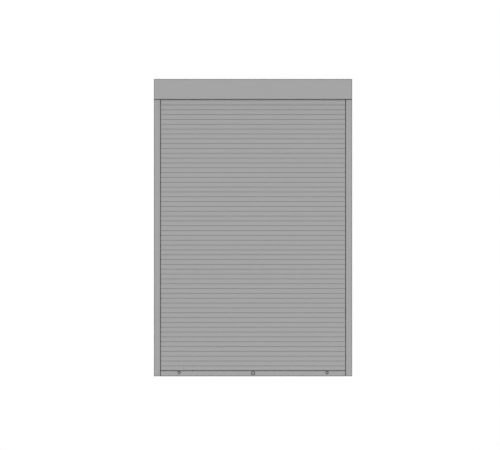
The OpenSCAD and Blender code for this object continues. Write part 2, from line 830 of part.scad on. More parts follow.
// Lip seal in a groove of the right guide: foot, neck, and a lip that reaches past the guide's edge
module seal_section() {
  lip_y = curtain_y - mouth_w / 2;
  groove_x = mouth_x + lip_w / 2;
  tip_y = curtain_y - rail_front - seal_run_gap;
  foot_y = lip_y - seal_neck_l - seal_play - seal_foot_t;
  root_x = groove_x + seal_neck_w;
  root_y = lip_y + seal_root_gap;
  translate([groove_x - seal_foot_w / 2, foot_y]) square([seal_foot_w, seal_foot_t]);
  translate([groove_x - seal_neck_w / 2, foot_y + sink])
    square([seal_neck_w, lip_y + seal_lip_t - foot_y - sink]);
  polygon([
    [root_x, root_y],
    [root_x, root_y + seal_lip_t],
    [mouth_x - seal_show, tip_y],
    [mouth_x - seal_show, tip_y - seal_lip_t]
  ]);
}

module guide_seals() {
  color("Black") both_sides()
    linear_extrude(guide_h)
      for (side = [0, 1])
        translate([0, side * 2 * curtain_y]) mirror([0, side]) seal_section();
}

module guide_plugs() {
  w = chamber_w - 2 * guide_wall - 2 * seat_gap;
  d = guide_d - 2 * guide_wall - 2 * seat_gap;
  color("DimGray") both_sides()
    translate([channel_x + guide_wall + seat_gap, guide_y + guide_wall + seat_gap, 0])
      difference() {
        cube([w, d, foot_plug_h]);
        translate([foot_plug_wall, foot_plug_wall, foot_plug_floor])
          cube([w - 2 * foot_plug_wall, d - 2 * foot_plug_wall, foot_plug_h]);
      }
}

// Block on the web of the right guide, above the thrown bolt
module keeper(z) {
  difference() {
    translate([channel_x - keeper_t, curtain_y - keeper_w / 2, z]) cube([keeper_t, keeper_w, keeper_h]);
    for (dz = [keeper_h / 4, keeper_h * 3 / 4])
      translate([0, curtain_y, z + dz])
        x_bar(channel_x - keeper_t - past, channel_x + past, keeper_rivet_r + screw_gap);
  }
}

module bolt_keepers() {
  color("Gray") {
    mirror([1, 0, 0]) keeper(keeper_z_left);
    keeper(keeper_z_right);
  }
}

// Rivets of the right guide's keeper, with their heads in the chamber
module keeper_rivet_pair(z) {
  web_x = channel_x + guide_wall;
  for (dz = [keeper_h / 4, keeper_h * 3 / 4])
    translate([0, curtain_y, z + dz]) {
      x_bar(channel_x - keeper_t, web_x + sink, keeper_rivet_r);
      x_bar(web_x, web_x + rivet_head_t, rivet_ratio * keeper_rivet_r);
    }
}

module keeper_rivets() {
  color("Silver") {
    mirror([1, 0, 0]) keeper_rivet_pair(keeper_z_left);
    keeper_rivet_pair(keeper_z_right);
  }
}

// Winding shaft

// Ring of the ball bearing between two radii, with the ball groove
module bearing_ring(r_in, r_out) {
  on_axle() difference() {
    x_bar(bearing_x0, bearing_x1, r_out);
    x_bar(bearing_x0 - past, bearing_x1 + past, r_in);
    translate([(bearing_x0 + bearing_x1) / 2, 0, 0]) rotate([0, 90, 0]) rotate_extrude($fn = round_fn)
      translate([ball_ring_r, 0]) circle(r = ball_r + ball_gap, $fn = small_fn);
  }
}

module bearing_outer_ring() {
  color("Silver") bearing_ring(bearing_r - race_t, bearing_r);
}

module bearing_inner_ring() {
  color("Silver") bearing_ring(pin_r + press_gap, pin_r + race_t);
}

module bearing_balls() {
  color("White") on_axle() translate([(bearing_x0 + bearing_x1) / 2, 0, 0])
    for (i = [0:balls - 1])
      rotate([i * 360 / balls, 0, 0]) translate([0, 0, ball_ring_r]) sphere(r = ball_r, $fn = small_fn);
}

// Places of the screws that hold the plugs in the tube, each along -Z from a flat of the tube
module tube_screw_places() {
  places = [tube_x0 + tube_plug_l / 2, tube_x1 - tube_plug_l / 2, (carrier_x0 + carrier_x1) / 2];
  for (x = places, a = [0, 180])
    translate([x, 0, axle_z]) rotate([a, 0, 0]) translate([0, 0, tube_af / 2]) children();
}

module strap_places() {
  for (i = [0:hangers - 1])
    translate([(i - (hangers - 1) / 2) * hanger_pitch, 0, 0]) children();
}

module clip_screw_places() {
  clip_foot = axle_z - tube_af / 2 - clip_h;
  strap_places()
    translate([0, (clip_rear - clip_front) / 2, clip_foot]) rotate([180, 0, 0]) children();
}

// Pan-head screw of the shaft along -Z, with the underside of its head at z = 0
module tube_screw(shank_l) {
  translate([0, 0, -shank_l]) cylinder(h = shank_l + sink, r = tube_screw_r, $fn = round_fn);
  cylinder(h = tube_head_t, r = head_ratio * tube_screw_r, $fn = round_fn);
}

module tube_screw_hole(depth) {
  translate([0, 0, -depth]) cylinder(h = depth + past, r = tube_screw_r + screw_gap, $fn = round_fn);
}

module winding_tube() {
  color("LightGray") difference() {
    on_axle() difference() {
      x_octagon(tube_x0, tube_x1, tube_af);
      x_octagon(tube_x0 - past, tube_x1 + past, tube_in);
    }
    tube_screw_places() tube_screw_hole(tube_screw_l);
    clip_screw_places() tube_screw_hole(clip_h + clip_screw_in + past);
  }
}

module idler_plug() {
  color("Black") difference() {
    on_axle() {
      x_octagon(tube_x0 - flange_t, tube_x0, tube_af);
      x_octagon(tube_x0 - sink, tube_x0 + tube_plug_l, plug_af);
    }
    on_axle() x_bar(tube_x0 - flange_t - past, tube_x0 + tube_plug_l + past, pin_r + press_gap);
    tube_screw_places() tube_screw_hole(tube_screw_l);
  }
}

module idler_pin() {
  color("Silver") on_axle() {
    x_bar(bearing_x0 + shoulder_gap, tube_x0 + tube_plug_l - pin_short, pin_r);
    x_bar(bearing_x1 + shoulder_gap, tube_x0 - flange_t, pin_r + race_t - ball_gap);
  }
}

module axle_bush() {
  color("Black") difference() {
    on_axle() {
      x_octagon(tube_x1, tube_x1 + flange_t, tube_af);
      x_octagon(tube_x1 - tube_plug_l + bush_gap, tube_x1 + sink, plug_af);
    }
    on_axle() x_bar(tube_x1 - tube_plug_l, tube_x1 + flange_t + past, axle_r + run_gap);
    tube_screw_places() tube_screw_hole(tube_screw_l);
  }
}

module spring_carrier() {
  color("Black") difference() {
    on_axle() x_octagon(carrier_x0, carrier_x1, plug_af);
    on_axle() x_bar(carrier_x0 - past, carrier_x1 + past, axle_r + run_gap);
    on_axle() translate([0, 0, spring_r]) x_bar(carrier_x1 - wire_leg, carrier_x1 + past, wire_r + leg_play);
    tube_screw_places() tube_screw_hole(tube_screw_l);
  }
}

module tube_screws() {
  color("Silver") {
    tube_screw_places() tube_screw(tube_screw_l - sink);
    clip_screw_places() tube_screw(clip_h + clip_screw_in);
  }
}

// Counterbalance

module axle_bracket() {
  color("Silver") on_axle() difference() {
    union() {
      translate([bracket_x0, -bracket_w / 2, -bracket_w / 2]) cube([bracket_t, bracket_w, bracket_w]);
      x_bar(socket_x, bracket_x0 + sink, socket_r);
    }
    translate([socket_x - past, -axle_square / 2 - hole_fit, -axle_square / 2 - hole_fit])
      cube([socket_l + bracket_t + 2 * past, axle_square + 2 * hole_fit, axle_square + 2 * hole_fit]);
    bracket_screw_places() x_bar(bracket_x0 - past, bracket_x1 + past, bracket_screw_r + hole_fit);
  }
}

module bracket_screws() {
  color("DimGray") on_axle() bracket_screw_places() {
    x_bar(bracket_x0 - sink, bracket_x1 + bracket_screw_in, bracket_screw_r);
    x_bar(bracket_x0 - bracket_head_t, bracket_x0, head_ratio * bracket_screw_r);
  }
}

module spring_axle() {
  color("Gray") on_axle() {
    x_bar(axle_x0, socket_x - shoulder_gap, axle_r);
    translate([socket_x - sink, -axle_square / 2, -axle_square / 2])
      cube([bracket_x1 - socket_x - sink, axle_square, axle_square]);
  }
}

module spring_anchor() {
  color("DimGray") on_axle() difference() {
    x_bar(anchor_x0, anchor_x1, anchor_r);
    x_bar(anchor_x0 - past, anchor_x1 + past, axle_r + press_gap);
    translate([0, 0, spring_r]) x_bar(anchor_x0 - past, anchor_x0 + wire_leg, wire_r + leg_play);
  }
}

// Collars that keep the axle in place: one by the bracket, one beyond the spring carrier
module axle_collars() {
  bush_x = tube_x1 + flange_t;
  inner_x = carrier_x0 - collar_gap;
  color("Silver") on_axle()
    for (x = [[inner_x - collar_w, inner_x], [bush_x + collar_gap, socket_x - collar_gap]])
      difference() {
        x_bar(x[0], x[1], axle_r + collar_t);
        x_bar(x[0] - past, x[1] + past, axle_r + press_gap);
      }
}

// Path of the spring wire: a leg along X, the turns, and a leg along X, each leg above the axle
coil_steps = coil_fn * spring_turns;
spring_path = concat(
  [[carrier_x1 - 2 * wire_r, 0, spring_r]],
  [for (i = [0:coil_steps]) let (a = 90 + 360 * i / coil_fn)
    [coil_x0 + spring_l * i / coil_steps, spring_r * cos(a), spring_r * sin(a)]],
  [[anchor_x0 + 2 * wire_r, 0, spring_r]]
);
turn_steps = [for (i = [1:coil_steps - coil_fn]) norm(spring_path[i + coil_fn] - spring_path[i])];
turn_gap = min(turn_steps) - 2 * wire_r;
echo(spring_turn_gap_mm = turn_gap);

function unit(v) = v / norm(v);

// Points around the wire at one place of its path
function wire_ring(i) =
  let (
    last = len(spring_path) - 1,
    p = spring_path[i],
    t = unit(spring_path[min(i + 1, last)] - spring_path[max(i - 1, 0)]),
    out = unit([0, p[1], p[2]]),
    n = unit(out - (out * t) * t),
    b = cross(t, n)
  )
  [for (k = [0:wire_fn - 1]) let (a = k * 360 / wire_fn) p + wire_r * (cos(a) * n + sin(a) * b)];

module torsion_spring() {
  rings = len(spring_path);
  points = [for (i = [0:rings - 1]) each wire_ring(i)];
  sides = [for (i = [0:rings - 2], k = [0:wire_fn - 1])
    let (m = (k + 1) % wire_fn, here = wire_fn * i, next = wire_fn * (i + 1))
    each [[here + k, next + m, here + m], [here + k, next + k, next + m]]];
  ends = [[for (k = [0:wire_fn - 1]) k], [for (k = [1:wire_fn]) wire_fn * rings - k]];
  color("DarkSlateGray") on_axle() polyhedron(points = points, faces = concat(sides, ends));
}

// Curtain hanging

module hanger_straps() {
  half = strap_t / 2;
  color("LightSteelBlue") strap_places() from_x(-strap_w / 2, strap_w / 2) polygon(concat(
    [[strap_y + half, strap_z - strap_rise - strap_in]],
    arc(bend_c, strap_bend_r + half, 0, strap_a, 10),
    arc(wrap_c, strap_wrap_r + half, strap_a, strap_end_a, 30),
    arc(wrap_c, strap_wrap_r - half, strap_end_a, strap_a, 30),
    arc(bend_c, strap_bend_r - half, strap_a, 0, 10),
    [[strap_y - half, strap_z - strap_rise - strap_in]]
  ));
}

module hanger_clips() {
  color("Black") difference() {
    strap_places() translate([-strap_w / 2, -clip_front, axle_z - tube_af / 2 - clip_h])
      cube([strap_w, clip_front + clip_rear, clip_h]);
    clip_screw_places() tube_screw_hole(clip_h + clip_screw_in + past);
  }
}

module hanger_shoes() {
  color("Black") strap_places() from_x(-shoe_l / 2, shoe_l / 2)
    translate([curtain_y, curtain_top]) difference() {
      translate([hook_y - shoe_t / 2, slat_b]) square([shoe_t, shoe_h]);
      pocket_section();
      translate([hook_y - strap_t / 2 - seat_gap, slat_b + shoe_h - strap_in - seat_gap])
        square([strap_t + 2 * seat_gap, strap_in + seat_gap + past]);
    }
}

// Curtain

// T-shaped hook on top of a section, from a height inside it, with its neck above line_z
module hook_section(z0, line_z) {
  translate([hook_y - neck_t / 2, z0]) square([neck_t, line_z + neck_h - z0 + sink]);
  translate([hook_y - head_w / 2, line_z + neck_h]) square([head_w, head_h]);
}

// Pocket in the bottom of a section that takes the hook below it
module pocket_section() {
  mouth = neck_t + 2 * hook_play;
  room = head_w + 2 * hook_play;
  translate([hook_y - mouth / 2, -past]) square([mouth, past + slat_b + pocket_lip + sink]);
  translate([hook_y - room / 2, slat_b + pocket_lip]) square([room, pocket_h]);
}

module slat_section() {
  difference() {
    union() {
      polygon(slat_outline(0, slat_b, slat_top, edge_r));
      hook_section(slat_top - slat_wall / 2, slat_top);
    }
    polygon(slat_outline(slat_wall, pocket_top + slat_wall, slat_top - slat_wall, hollow_r));
    pocket_section();
  }
}

// Slats from the first number up to, not with, the last number
module slat_stack(first, last) {
  color("Gainsboro")
    for (k = [first:last - 1])
      translate([0, curtain_y, rail_h + k * slat_pitch]) from_x(-slat_end, slat_end) slat_section();
}

module lower_slats() { slat_stack(0, lower_slats); }
module slat_run(i) { slat_stack(run_start(i), run_start(i + 1)); }
module slat_run_01() { slat_run(1); }
module slat_run_02() { slat_run(2); }
module slat_run_03() { slat_run(3); }
module slat_run_04() { slat_run(4); }
module slat_run_05() { slat_run(5); }
module slat_run_06() { slat_run(6); }
module slat_run_07() { slat_run(7); }
module slat_run_08() { slat_run(8); }
module slat_run_09() { slat_run(9); }
module slat_run_10() { slat_run(10); }
module slat_run_11() { slat_run(11); }
module slat_run_12() { slat_run(12); }
module slat_run_13() { slat_run(13); }
module slat_run_14() { slat_run(14); }

// Bottom rail

module on_lock() {
  translate([0, curtain_y, lock_z]) children();
}

module on_stops() {
  both_sides() translate([stop_x, curtain_y, stop_z]) children();
}

module rail_section() {
  difference() {
    union() {
      polygon(round_rect([-rail_front, skirt_z], [rail_front, rail_top], edge_r));
      hook_section(rail_top - rail_wall / 2, rail_h - slat_gap / 2);
    }
    translate([-rail_front + rail_wall, chamber_z0])
      square([rail_t - 2 * rail_wall, chamber_z1 - chamber_z0]);
    translate([-seal_mouth_w / 2, skirt_z - past]) square([seal_mouth_w, past + seal_mouth_h + sink]);
    translate([-seal_groove_w / 2, skirt_z + seal_mouth_h])
      square([seal_groove_w, seal_groove_h - seal_mouth_h]);
  }
}

module bottom_rail() {
  color("Gainsboro") difference() {
    translate([0, curtain_y, 0]) from_x(-rail_l / 2, rail_l / 2) rail_section();
    on_lock() {
      y_bar(-rail_front - past, 0, barrel_r + hole_fit);
      y_bar(0, rail_front + past, key_plug_r);
      both_sides() translate([lock_screw_x, 0, 0])
        y_bar(-rail_front - past, rail_front + past, lock_screw_r + hole_fit);
    }
    on_stops() y_bar(-rail_front - past, -rail_front + rail_wall + past, stop_screw_r + screw_gap);
  }
}

module rail_seal() {
  neck = seal_mouth_w / 2 - seal_play;
  head = seal_groove_w / 2 - seal_play;
  head_z0 = skirt_z + seal_mouth_h + seal_play;
  head_z1 = skirt_z + seal_groove_h - seal_play;
  r = rail_seal_r;
  color("Black") translate([0, curtain_y, 0]) from_x(-rail_l / 2, rail_l / 2) polygon(concat(
    arc([-neck + r, r], r, 180, 270, 4),
    arc([neck - r, r], r, 270, 360, 4),
    [[neck, head_z0], [head, head_z0], [head, head_z1], [-head, head_z1], [-head, head_z0], [-neck, head_z0]]
  ));
}

// Plug in the right end of the rail, with a way through for either bolt
module rail_end_plug() {
  inside_y = rail_front - rail_wall - seat_gap;
  way = [plug_l + plug_plate_t + 2 * past, bolt_t + 2 * bolt_play, bolt_h + 2 * bolt_play];
  difference() {
    union() {
      translate([0, curtain_y, 0]) from_x(rail_l / 2, slat_end)
        polygon(round_rect([-rail_front, skirt_z], [rail_front, rail_top], edge_r));
      translate([rail_l / 2 - plug_l, curtain_y - inside_y, chamber_z0 + seat_gap])
        cube([plug_l + sink, 2 * inside_y, chamber_z1 - chamber_z0 - 2 * seat_gap]);
    }
    for (side = [-1, 1])
      translate([rail_l / 2 - plug_l - past, curtain_y, lock_z + side * (bolt_z0 + bolt_h / 2)])
        translate([0, -way[1] / 2, -way[2] / 2]) cube(way);
  }
}

module rail_end_plugs() {
  color("DimGray") both_sides() rail_end_plug();
}

module stop_pads() {
  color("Black") on_stops() difference() {
    y_bar(-rail_front - stop_pad_t, -rail_front, stop_pad_r);
    y_bar(-rail_front - stop_pad_t - past, -rail_front + past, stop_screw_r + screw_gap);
  }
}

// Button with a rounded front and a sunk seat for its screw
module stop_buttons() {
  back = -rail_front - stop_pad_t;
  color("Gray") on_stops() difference() {
    union() {
      y_bar(stop_front + stop_round, back, stop_r);
      y_bar(stop_front, back, stop_r - stop_round);
      translate([0, stop_front + stop_round, 0]) rotate([-90, 0, 0]) rotate_extrude($fn = round_fn)
        intersection() {
          translate([stop_r - stop_round, 0]) circle(r = stop_round, $fn = small_fn);
          translate([0, -stop_round]) square([stop_r, stop_round + sink]);
        }
    }
    y_bar(stop_front - past, back + past, stop_screw_r + screw_gap);
    y_bar(stop_front - past, stop_front + stop_seat, stop_head_r + stop_head_gap);
  }
}

module stop_screws() {
  seat = stop_front + stop_seat;
  color("Silver") on_stops() {
    y_bar(seat - sink, -rail_front + rail_wall, stop_screw_r);
    y_bar(seat - stop_head_t, seat, stop_head_r);
  }
}

// Lock

module lock_rosette() {
  color("Black") on_lock() difference() {
    union() {
      y_bar(-rail_front - rosette_t + rosette_bevel, -rail_front, rosette_r);
      translate([0, -rail_front - rosette_t, 0]) rotate([-90, 0, 0])
        cylinder(h = rosette_bevel, r1 = rosette_r - rosette_bevel, r2 = rosette_r, $fn = round_fn);
    }
    y_bar(-rail_front - rosette_t - past, -rail_front + past, barrel_r + hole_fit);
    both_sides() translate([lock_screw_x, 0, 0])
      y_bar(-rail_front - rosette_t + rosette_skin, -rail_front + past, lock_screw_r + hole_fit);
  }
}

module lock_barrel() {
  color("Silver") on_lock() difference() {
    y_bar(-barrel_front, -barrel_back, barrel_r);
    y_bar(-barrel_front - past, -barrel_back + past, key_plug_r + run_gap);
  }
}

module lock_backplate() {
  color("Silver") on_lock() difference() {
    union() {
      y_bar(rail_front, rail_front + backplate_t, rosette_r);
      y_bar(rail_front - rail_wall, rail_front + sink, key_plug_r - hole_fit);
    }
    y_bar(rail_front - rail_wall - past, rail_front + backplate_t + past, spindle_r + run_gap);
    both_sides() translate([lock_screw_x, 0, 0])
      y_bar(rail_front - past, rail_front + backplate_t + past, lock_screw_r + hole_fit);
  }
}

module lock_screws() {
  head = rail_front + backplate_t;
  color("Silver") on_lock() both_sides() translate([lock_screw_x, 0, 0]) {
    y_bar(-rail_front - rosette_t + rosette_skin + core_gap, head + sink, lock_screw_r);
    y_bar(head, head + lock_head_t, head_ratio * lock_screw_r);
  }
}

// Turning core: a round face with a keyhole, and the spindle that carries the pinion
module key_plug() {
  color("Gainsboro") on_lock() difference() {
    union() {
      y_bar(-barrel_front - key_proud, -bolt_t / 2 - core_gap, key_plug_r);
      y_bar(-bolt_t / 2 - core_gap - sink, rail_front + backplate_t - core_gap, spindle_r);
    }
    translate([-keyhole_w / 2, -barrel_front - past, -keyhole_h / 2])
      cube([keyhole_w, keyhole_d + past, keyhole_h]);
    translate([0, 0, keyhole_h / 4]) y_bar(-barrel_front - past, -barrel_front + keyhole_d, keyhole_w);
  }
}

function involute(a) = tan(a) * 180 / PI - a;

// Half the angle that a pinion tooth covers at a radius
function tooth_half(r) =
  90 / pinion_n - backlash / 2 / pitch_r * 90 / PI + involute(pressure)
  - (r > base_r ? involute(acos(base_r / r)) : 0);

tooth_radii = [pitch_r - dedendum, base_r, pitch_r + addendum / 4, pitch_r + addendum];

module lock_pinion() {
  outline = [for (i = [0:pinion_n - 1]) let (mid = i * 360 / pinion_n) each concat(
    [for (r = tooth_radii) let (a = mid - tooth_half(r)) r * [cos(a), sin(a)]],
    [for (k = [3:-1:0]) let (r = tooth_radii[k], a = mid + tooth_half(r)) r * [cos(a), sin(a)]]
  )];
  color("Goldenrod") on_lock() difference() {
    translate([0, bolt_t / 2, 0]) rotate([90, 0, 0]) linear_extrude(bolt_t) polygon(outline);
    y_bar(-bolt_t, bolt_t, spindle_r + press_gap);
  }
}

// Bolt bar to the left with its rack on the underside, about the lock's axis
module bolt_bar() {
  pitch = PI * gear_m;
  half = pitch / 4 - backlash / 4;
  slope = tan(pressure);
  root = half + dedendum * slope;
  tip = half - addendum * slope;
  teeth = floor(rack_half / pitch);
  translate([0, bolt_t / 2, 0]) rotate([90, 0, 0]) linear_extrude(bolt_t) {
    translate([-bolt_tip, bolt_z0]) square([bolt_tip + rack_half, bolt_h]);
    for (i = [-teeth:teeth - 1])
      translate([(i + 0.5) * pitch, pitch_r]) polygon([
        [-tip, -addendum], [tip, -addendum], [root, dedendum], [root, dedendum + sink],
        [-root, dedendum + sink], [-root, dedendum]
      ]);
  }
}

module left_bolt() {
  color("Silver") on_lock() bolt_bar();
}

module right_bolt() {
  color("Silver") on_lock() rotate([0, 180, 0]) bolt_bar();
}

casing_back();
front_cover();
left_end_cap();
right_end_cap();
box_screws();
slot_brush();
curtain_inlets();
left_guide();
right_guide();
guide_seals();
guide_plugs();
bolt_keepers();
keeper_rivets();
bearing_outer_ring();
bearing_balls();
axle_bracket();
bracket_screws();
spring_axle();
spring_anchor();
axle_collars();
torsion_spring();
hanger_straps();
winding_tube();
idler_plug();
idler_pin();
bearing_inner_ring();
axle_bush();
spring_carrier();
tube_screws();
hanger_clips();
lower_slats();
slat_run_01();
slat_run_02();
slat_run_03();
slat_run_04();
slat_run_05();
slat_run_06();
slat_run_07();
slat_run_08();
slat_run_09();
slat_run_10();
slat_run_11();
slat_run_12();
slat_run_13();
slat_run_14();
hanger_shoes();
bottom_rail();
rail_seal();
rail_end_plugs();
stop_buttons();
stop_pads();
stop_screws();
lock_rosette();
lock_barrel();
lock_backplate();
lock_screws();
key_plug();
lock_pinion();
left_bolt();
right_bolt();
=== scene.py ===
"""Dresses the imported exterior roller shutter: coated aluminium, seals, lock and winding gear.

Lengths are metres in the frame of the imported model: X runs across the opening, +Y to the wall, +Z up.
"""

import logging
import math
from dataclasses import dataclass
from enum import Enum

import bmesh
import bpy
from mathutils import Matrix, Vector


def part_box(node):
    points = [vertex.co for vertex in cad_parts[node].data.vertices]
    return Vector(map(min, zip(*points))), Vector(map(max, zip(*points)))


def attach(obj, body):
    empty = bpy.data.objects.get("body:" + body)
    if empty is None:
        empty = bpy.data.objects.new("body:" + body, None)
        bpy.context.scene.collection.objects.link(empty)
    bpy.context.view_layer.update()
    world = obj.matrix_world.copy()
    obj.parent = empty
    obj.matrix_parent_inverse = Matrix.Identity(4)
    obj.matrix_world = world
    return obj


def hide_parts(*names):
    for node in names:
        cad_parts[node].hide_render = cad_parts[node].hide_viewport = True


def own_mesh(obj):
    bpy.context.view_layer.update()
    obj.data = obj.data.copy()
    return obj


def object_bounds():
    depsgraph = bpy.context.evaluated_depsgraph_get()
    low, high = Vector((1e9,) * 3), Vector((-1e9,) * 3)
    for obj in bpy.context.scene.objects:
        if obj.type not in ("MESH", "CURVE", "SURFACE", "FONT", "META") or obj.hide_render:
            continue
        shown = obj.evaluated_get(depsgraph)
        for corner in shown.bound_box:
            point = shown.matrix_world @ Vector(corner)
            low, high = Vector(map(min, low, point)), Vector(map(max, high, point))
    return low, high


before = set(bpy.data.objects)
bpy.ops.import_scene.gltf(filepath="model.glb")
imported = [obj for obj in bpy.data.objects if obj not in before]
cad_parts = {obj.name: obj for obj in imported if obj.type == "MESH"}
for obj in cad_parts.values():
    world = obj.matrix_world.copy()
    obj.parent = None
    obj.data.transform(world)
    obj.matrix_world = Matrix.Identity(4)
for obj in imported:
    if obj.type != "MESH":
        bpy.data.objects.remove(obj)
CAD_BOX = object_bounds()

MM = 0.001
MERGE = 1e-6
# The angle between two faces over which their edge stays sharp
CREASE = math.radians(35)
# Sockets by number where a node has several of one name: a Mix node's, then a Random Value node's
FACTOR, NUMBER_A, NUMBER_B, COLOUR_A, COLOUR_B, MIXED_COLOUR = 0, 2, 3, 6, 7, 2
LEAST_VECTOR, MOST_VECTOR, LEAST_NUMBER, MOST_NUMBER, PICKED_NUMBER = 0, 1, 2, 3, 1
log = logging.getLogger("roller_shutter")

Point = tuple[float, float]
Loop = list[Point]
Cell = tuple[float, float, float]
Colour = tuple[float, float, float, float]
Tree = bpy.types.NodeTree
Node = bpy.types.Node
Socket = bpy.types.NodeSocket


def to_linear(code: str) -> Colour:
    """Turns an sRGB hex colour into linear light.

    Args:
        code: A hash mark and six hex digits.

    Returns:
        Linear red, green and blue, with an alpha of 1.
    """
    channels = [int(code[i:i + 2], 16) / 255 for i in (1, 3, 5)]
    red, green, blue = (c / 12.92 if c <= 0.04045 else ((c + 0.055) / 1.055) ** 2.4 for c in channels)
    return red, green, blue, 1.0


def scaled(colour: Colour, by: float) -> Colour:
    """Makes a linear colour lighter or darker, keeping its alpha."""
    return (*(min(c * by, 1.0) for c in colour[:3]), 1.0)


def add(tree: Tree, kind: str, settings: dict | None = None, inputs: dict | None = None) -> Node:
    """Adds one node to a tree, with its settings, values and links.

    Args:
        tree: The tree that gets the node.
        kind: The node's type.
        settings: Properties of the node itself.
        inputs: For a socket's name or number, a value, or an output socket to link from.

    Returns:
        The new node.
    """
    node = tree.nodes.new(kind)
    for name, value in (settings or {}).items():
        setattr(node, name, value)
    for key, value in (inputs or {}).items():
        if isinstance(value, Socket):
            tree.links.new(value, node.inputs[key])
        else:
            node.inputs[key].default_value = value
    return node


def bare_tree(owner: bpy.types.Material | bpy.types.World) -> Tree:
    """Gives a material or a world its node tree, emptied.

    Args:
        owner: The material or world.

    Returns:
        The tree.
    """
    owner.use_nodes = True
    owner.node_tree.nodes.clear()
    return owner.node_tree


class Pattern(Enum):
    """The texture that a worked metal's surface shows."""

    GRAIN = "ShaderNodeTexNoise"
    SPANGLE = "ShaderNodeTexVoronoi"


@dataclass(frozen=True)
class Finish:
    """A surface finish: one material, tied to a material slot of the record.

    Attributes:
        slot: The record's material slot.
        name: The real material and how its surface was made.
        tint: The colour, as sRGB hex.
        contrast: How much lighter and darker the mottle gets, as a share.
        rough: Roughness where the mottle is darkest and lightest.
        depth: Height of the relief.
        layers: How many times its patches repeat inside themselves, each time at half the size.
    """

    slot: str
    name: str
    tint: str
    contrast: float = 0.03
    rough: Point = (0.5, 0.6)
    depth: float = 0.02 * MM
    layers: float = 3.0

    def material(self) -> bpy.types.Material:
        """Makes the finish's material on its first use.

        Returns:
            The material.
        """
        made = bpy.data.materials.get(self.name)
        if made is None:
            made = bpy.data.materials.new(self.name)
            tree = bare_tree(made)
            add(tree, "ShaderNodeOutputMaterial", inputs={"Surface": self.shade(tree).outputs["BSDF"]})
        return made

    def shade(self, tree: Tree) -> Node:
        """Builds the shader; each kind of finish has its own."""
        raise NotImplementedError

    def in_cells(self, tree: Tree, cell: Cell) -> Socket:
        """Gives coordinates on the surface in which one unit is one cell of a pattern."""
        spot = add(tree, "ShaderNodeTexCoord").outputs["Object"]
        return add(tree, "ShaderNodeMapping", inputs={
            "Vector": spot, "Scale": [1 / c for c in cell]}).outputs["Vector"]

    def patches(self, tree: Tree, cell: Cell) -> Socket:
        """Gives soft random patches of a given size."""
        return add(tree, "ShaderNodeTexNoise", inputs={
            "Vector": self.in_cells(tree, cell), "Scale": 1.0, "Detail": self.layers}).outputs[0]

    def surface(self, tree: Tree, mottle: Socket, relief: Socket, metallic: float = 0.0) -> Node:
        """Joins a mottle and a relief into a shader.

        Args:
            tree: The material's tree.
            mottle: Pattern from 0 to 1 that moves the tone and the roughness.
            relief: Height pattern from 0 to 1.
            metallic: 1 for bare metal.

        Returns:
            The principled shader.
        """
        dark, pale = (scaled(to_linear(self.tint), by) for by in (1 - self.contrast, 1 + self.contrast))
        tone = add(tree, "ShaderNodeMix", {"data_type": "RGBA"}, {
            FACTOR: mottle, COLOUR_A: dark, COLOUR_B: pale})
        gloss = add(tree, "ShaderNodeMapRange", inputs={
            "Value": mottle, "To Min": self.rough[0], "To Max": self.rough[1]})
        bump = add(tree, "ShaderNodeBump", inputs={
            "Height": relief, "Strength": 1.0, "Distance": self.depth})
        return add(tree, "ShaderNodeBsdfPrincipled", inputs={
            "Base Color": tone.outputs[MIXED_COLOUR], "Roughness": gloss.outputs["Result"],
            "Normal": bump.outputs["Normal"], "Metallic": metallic})


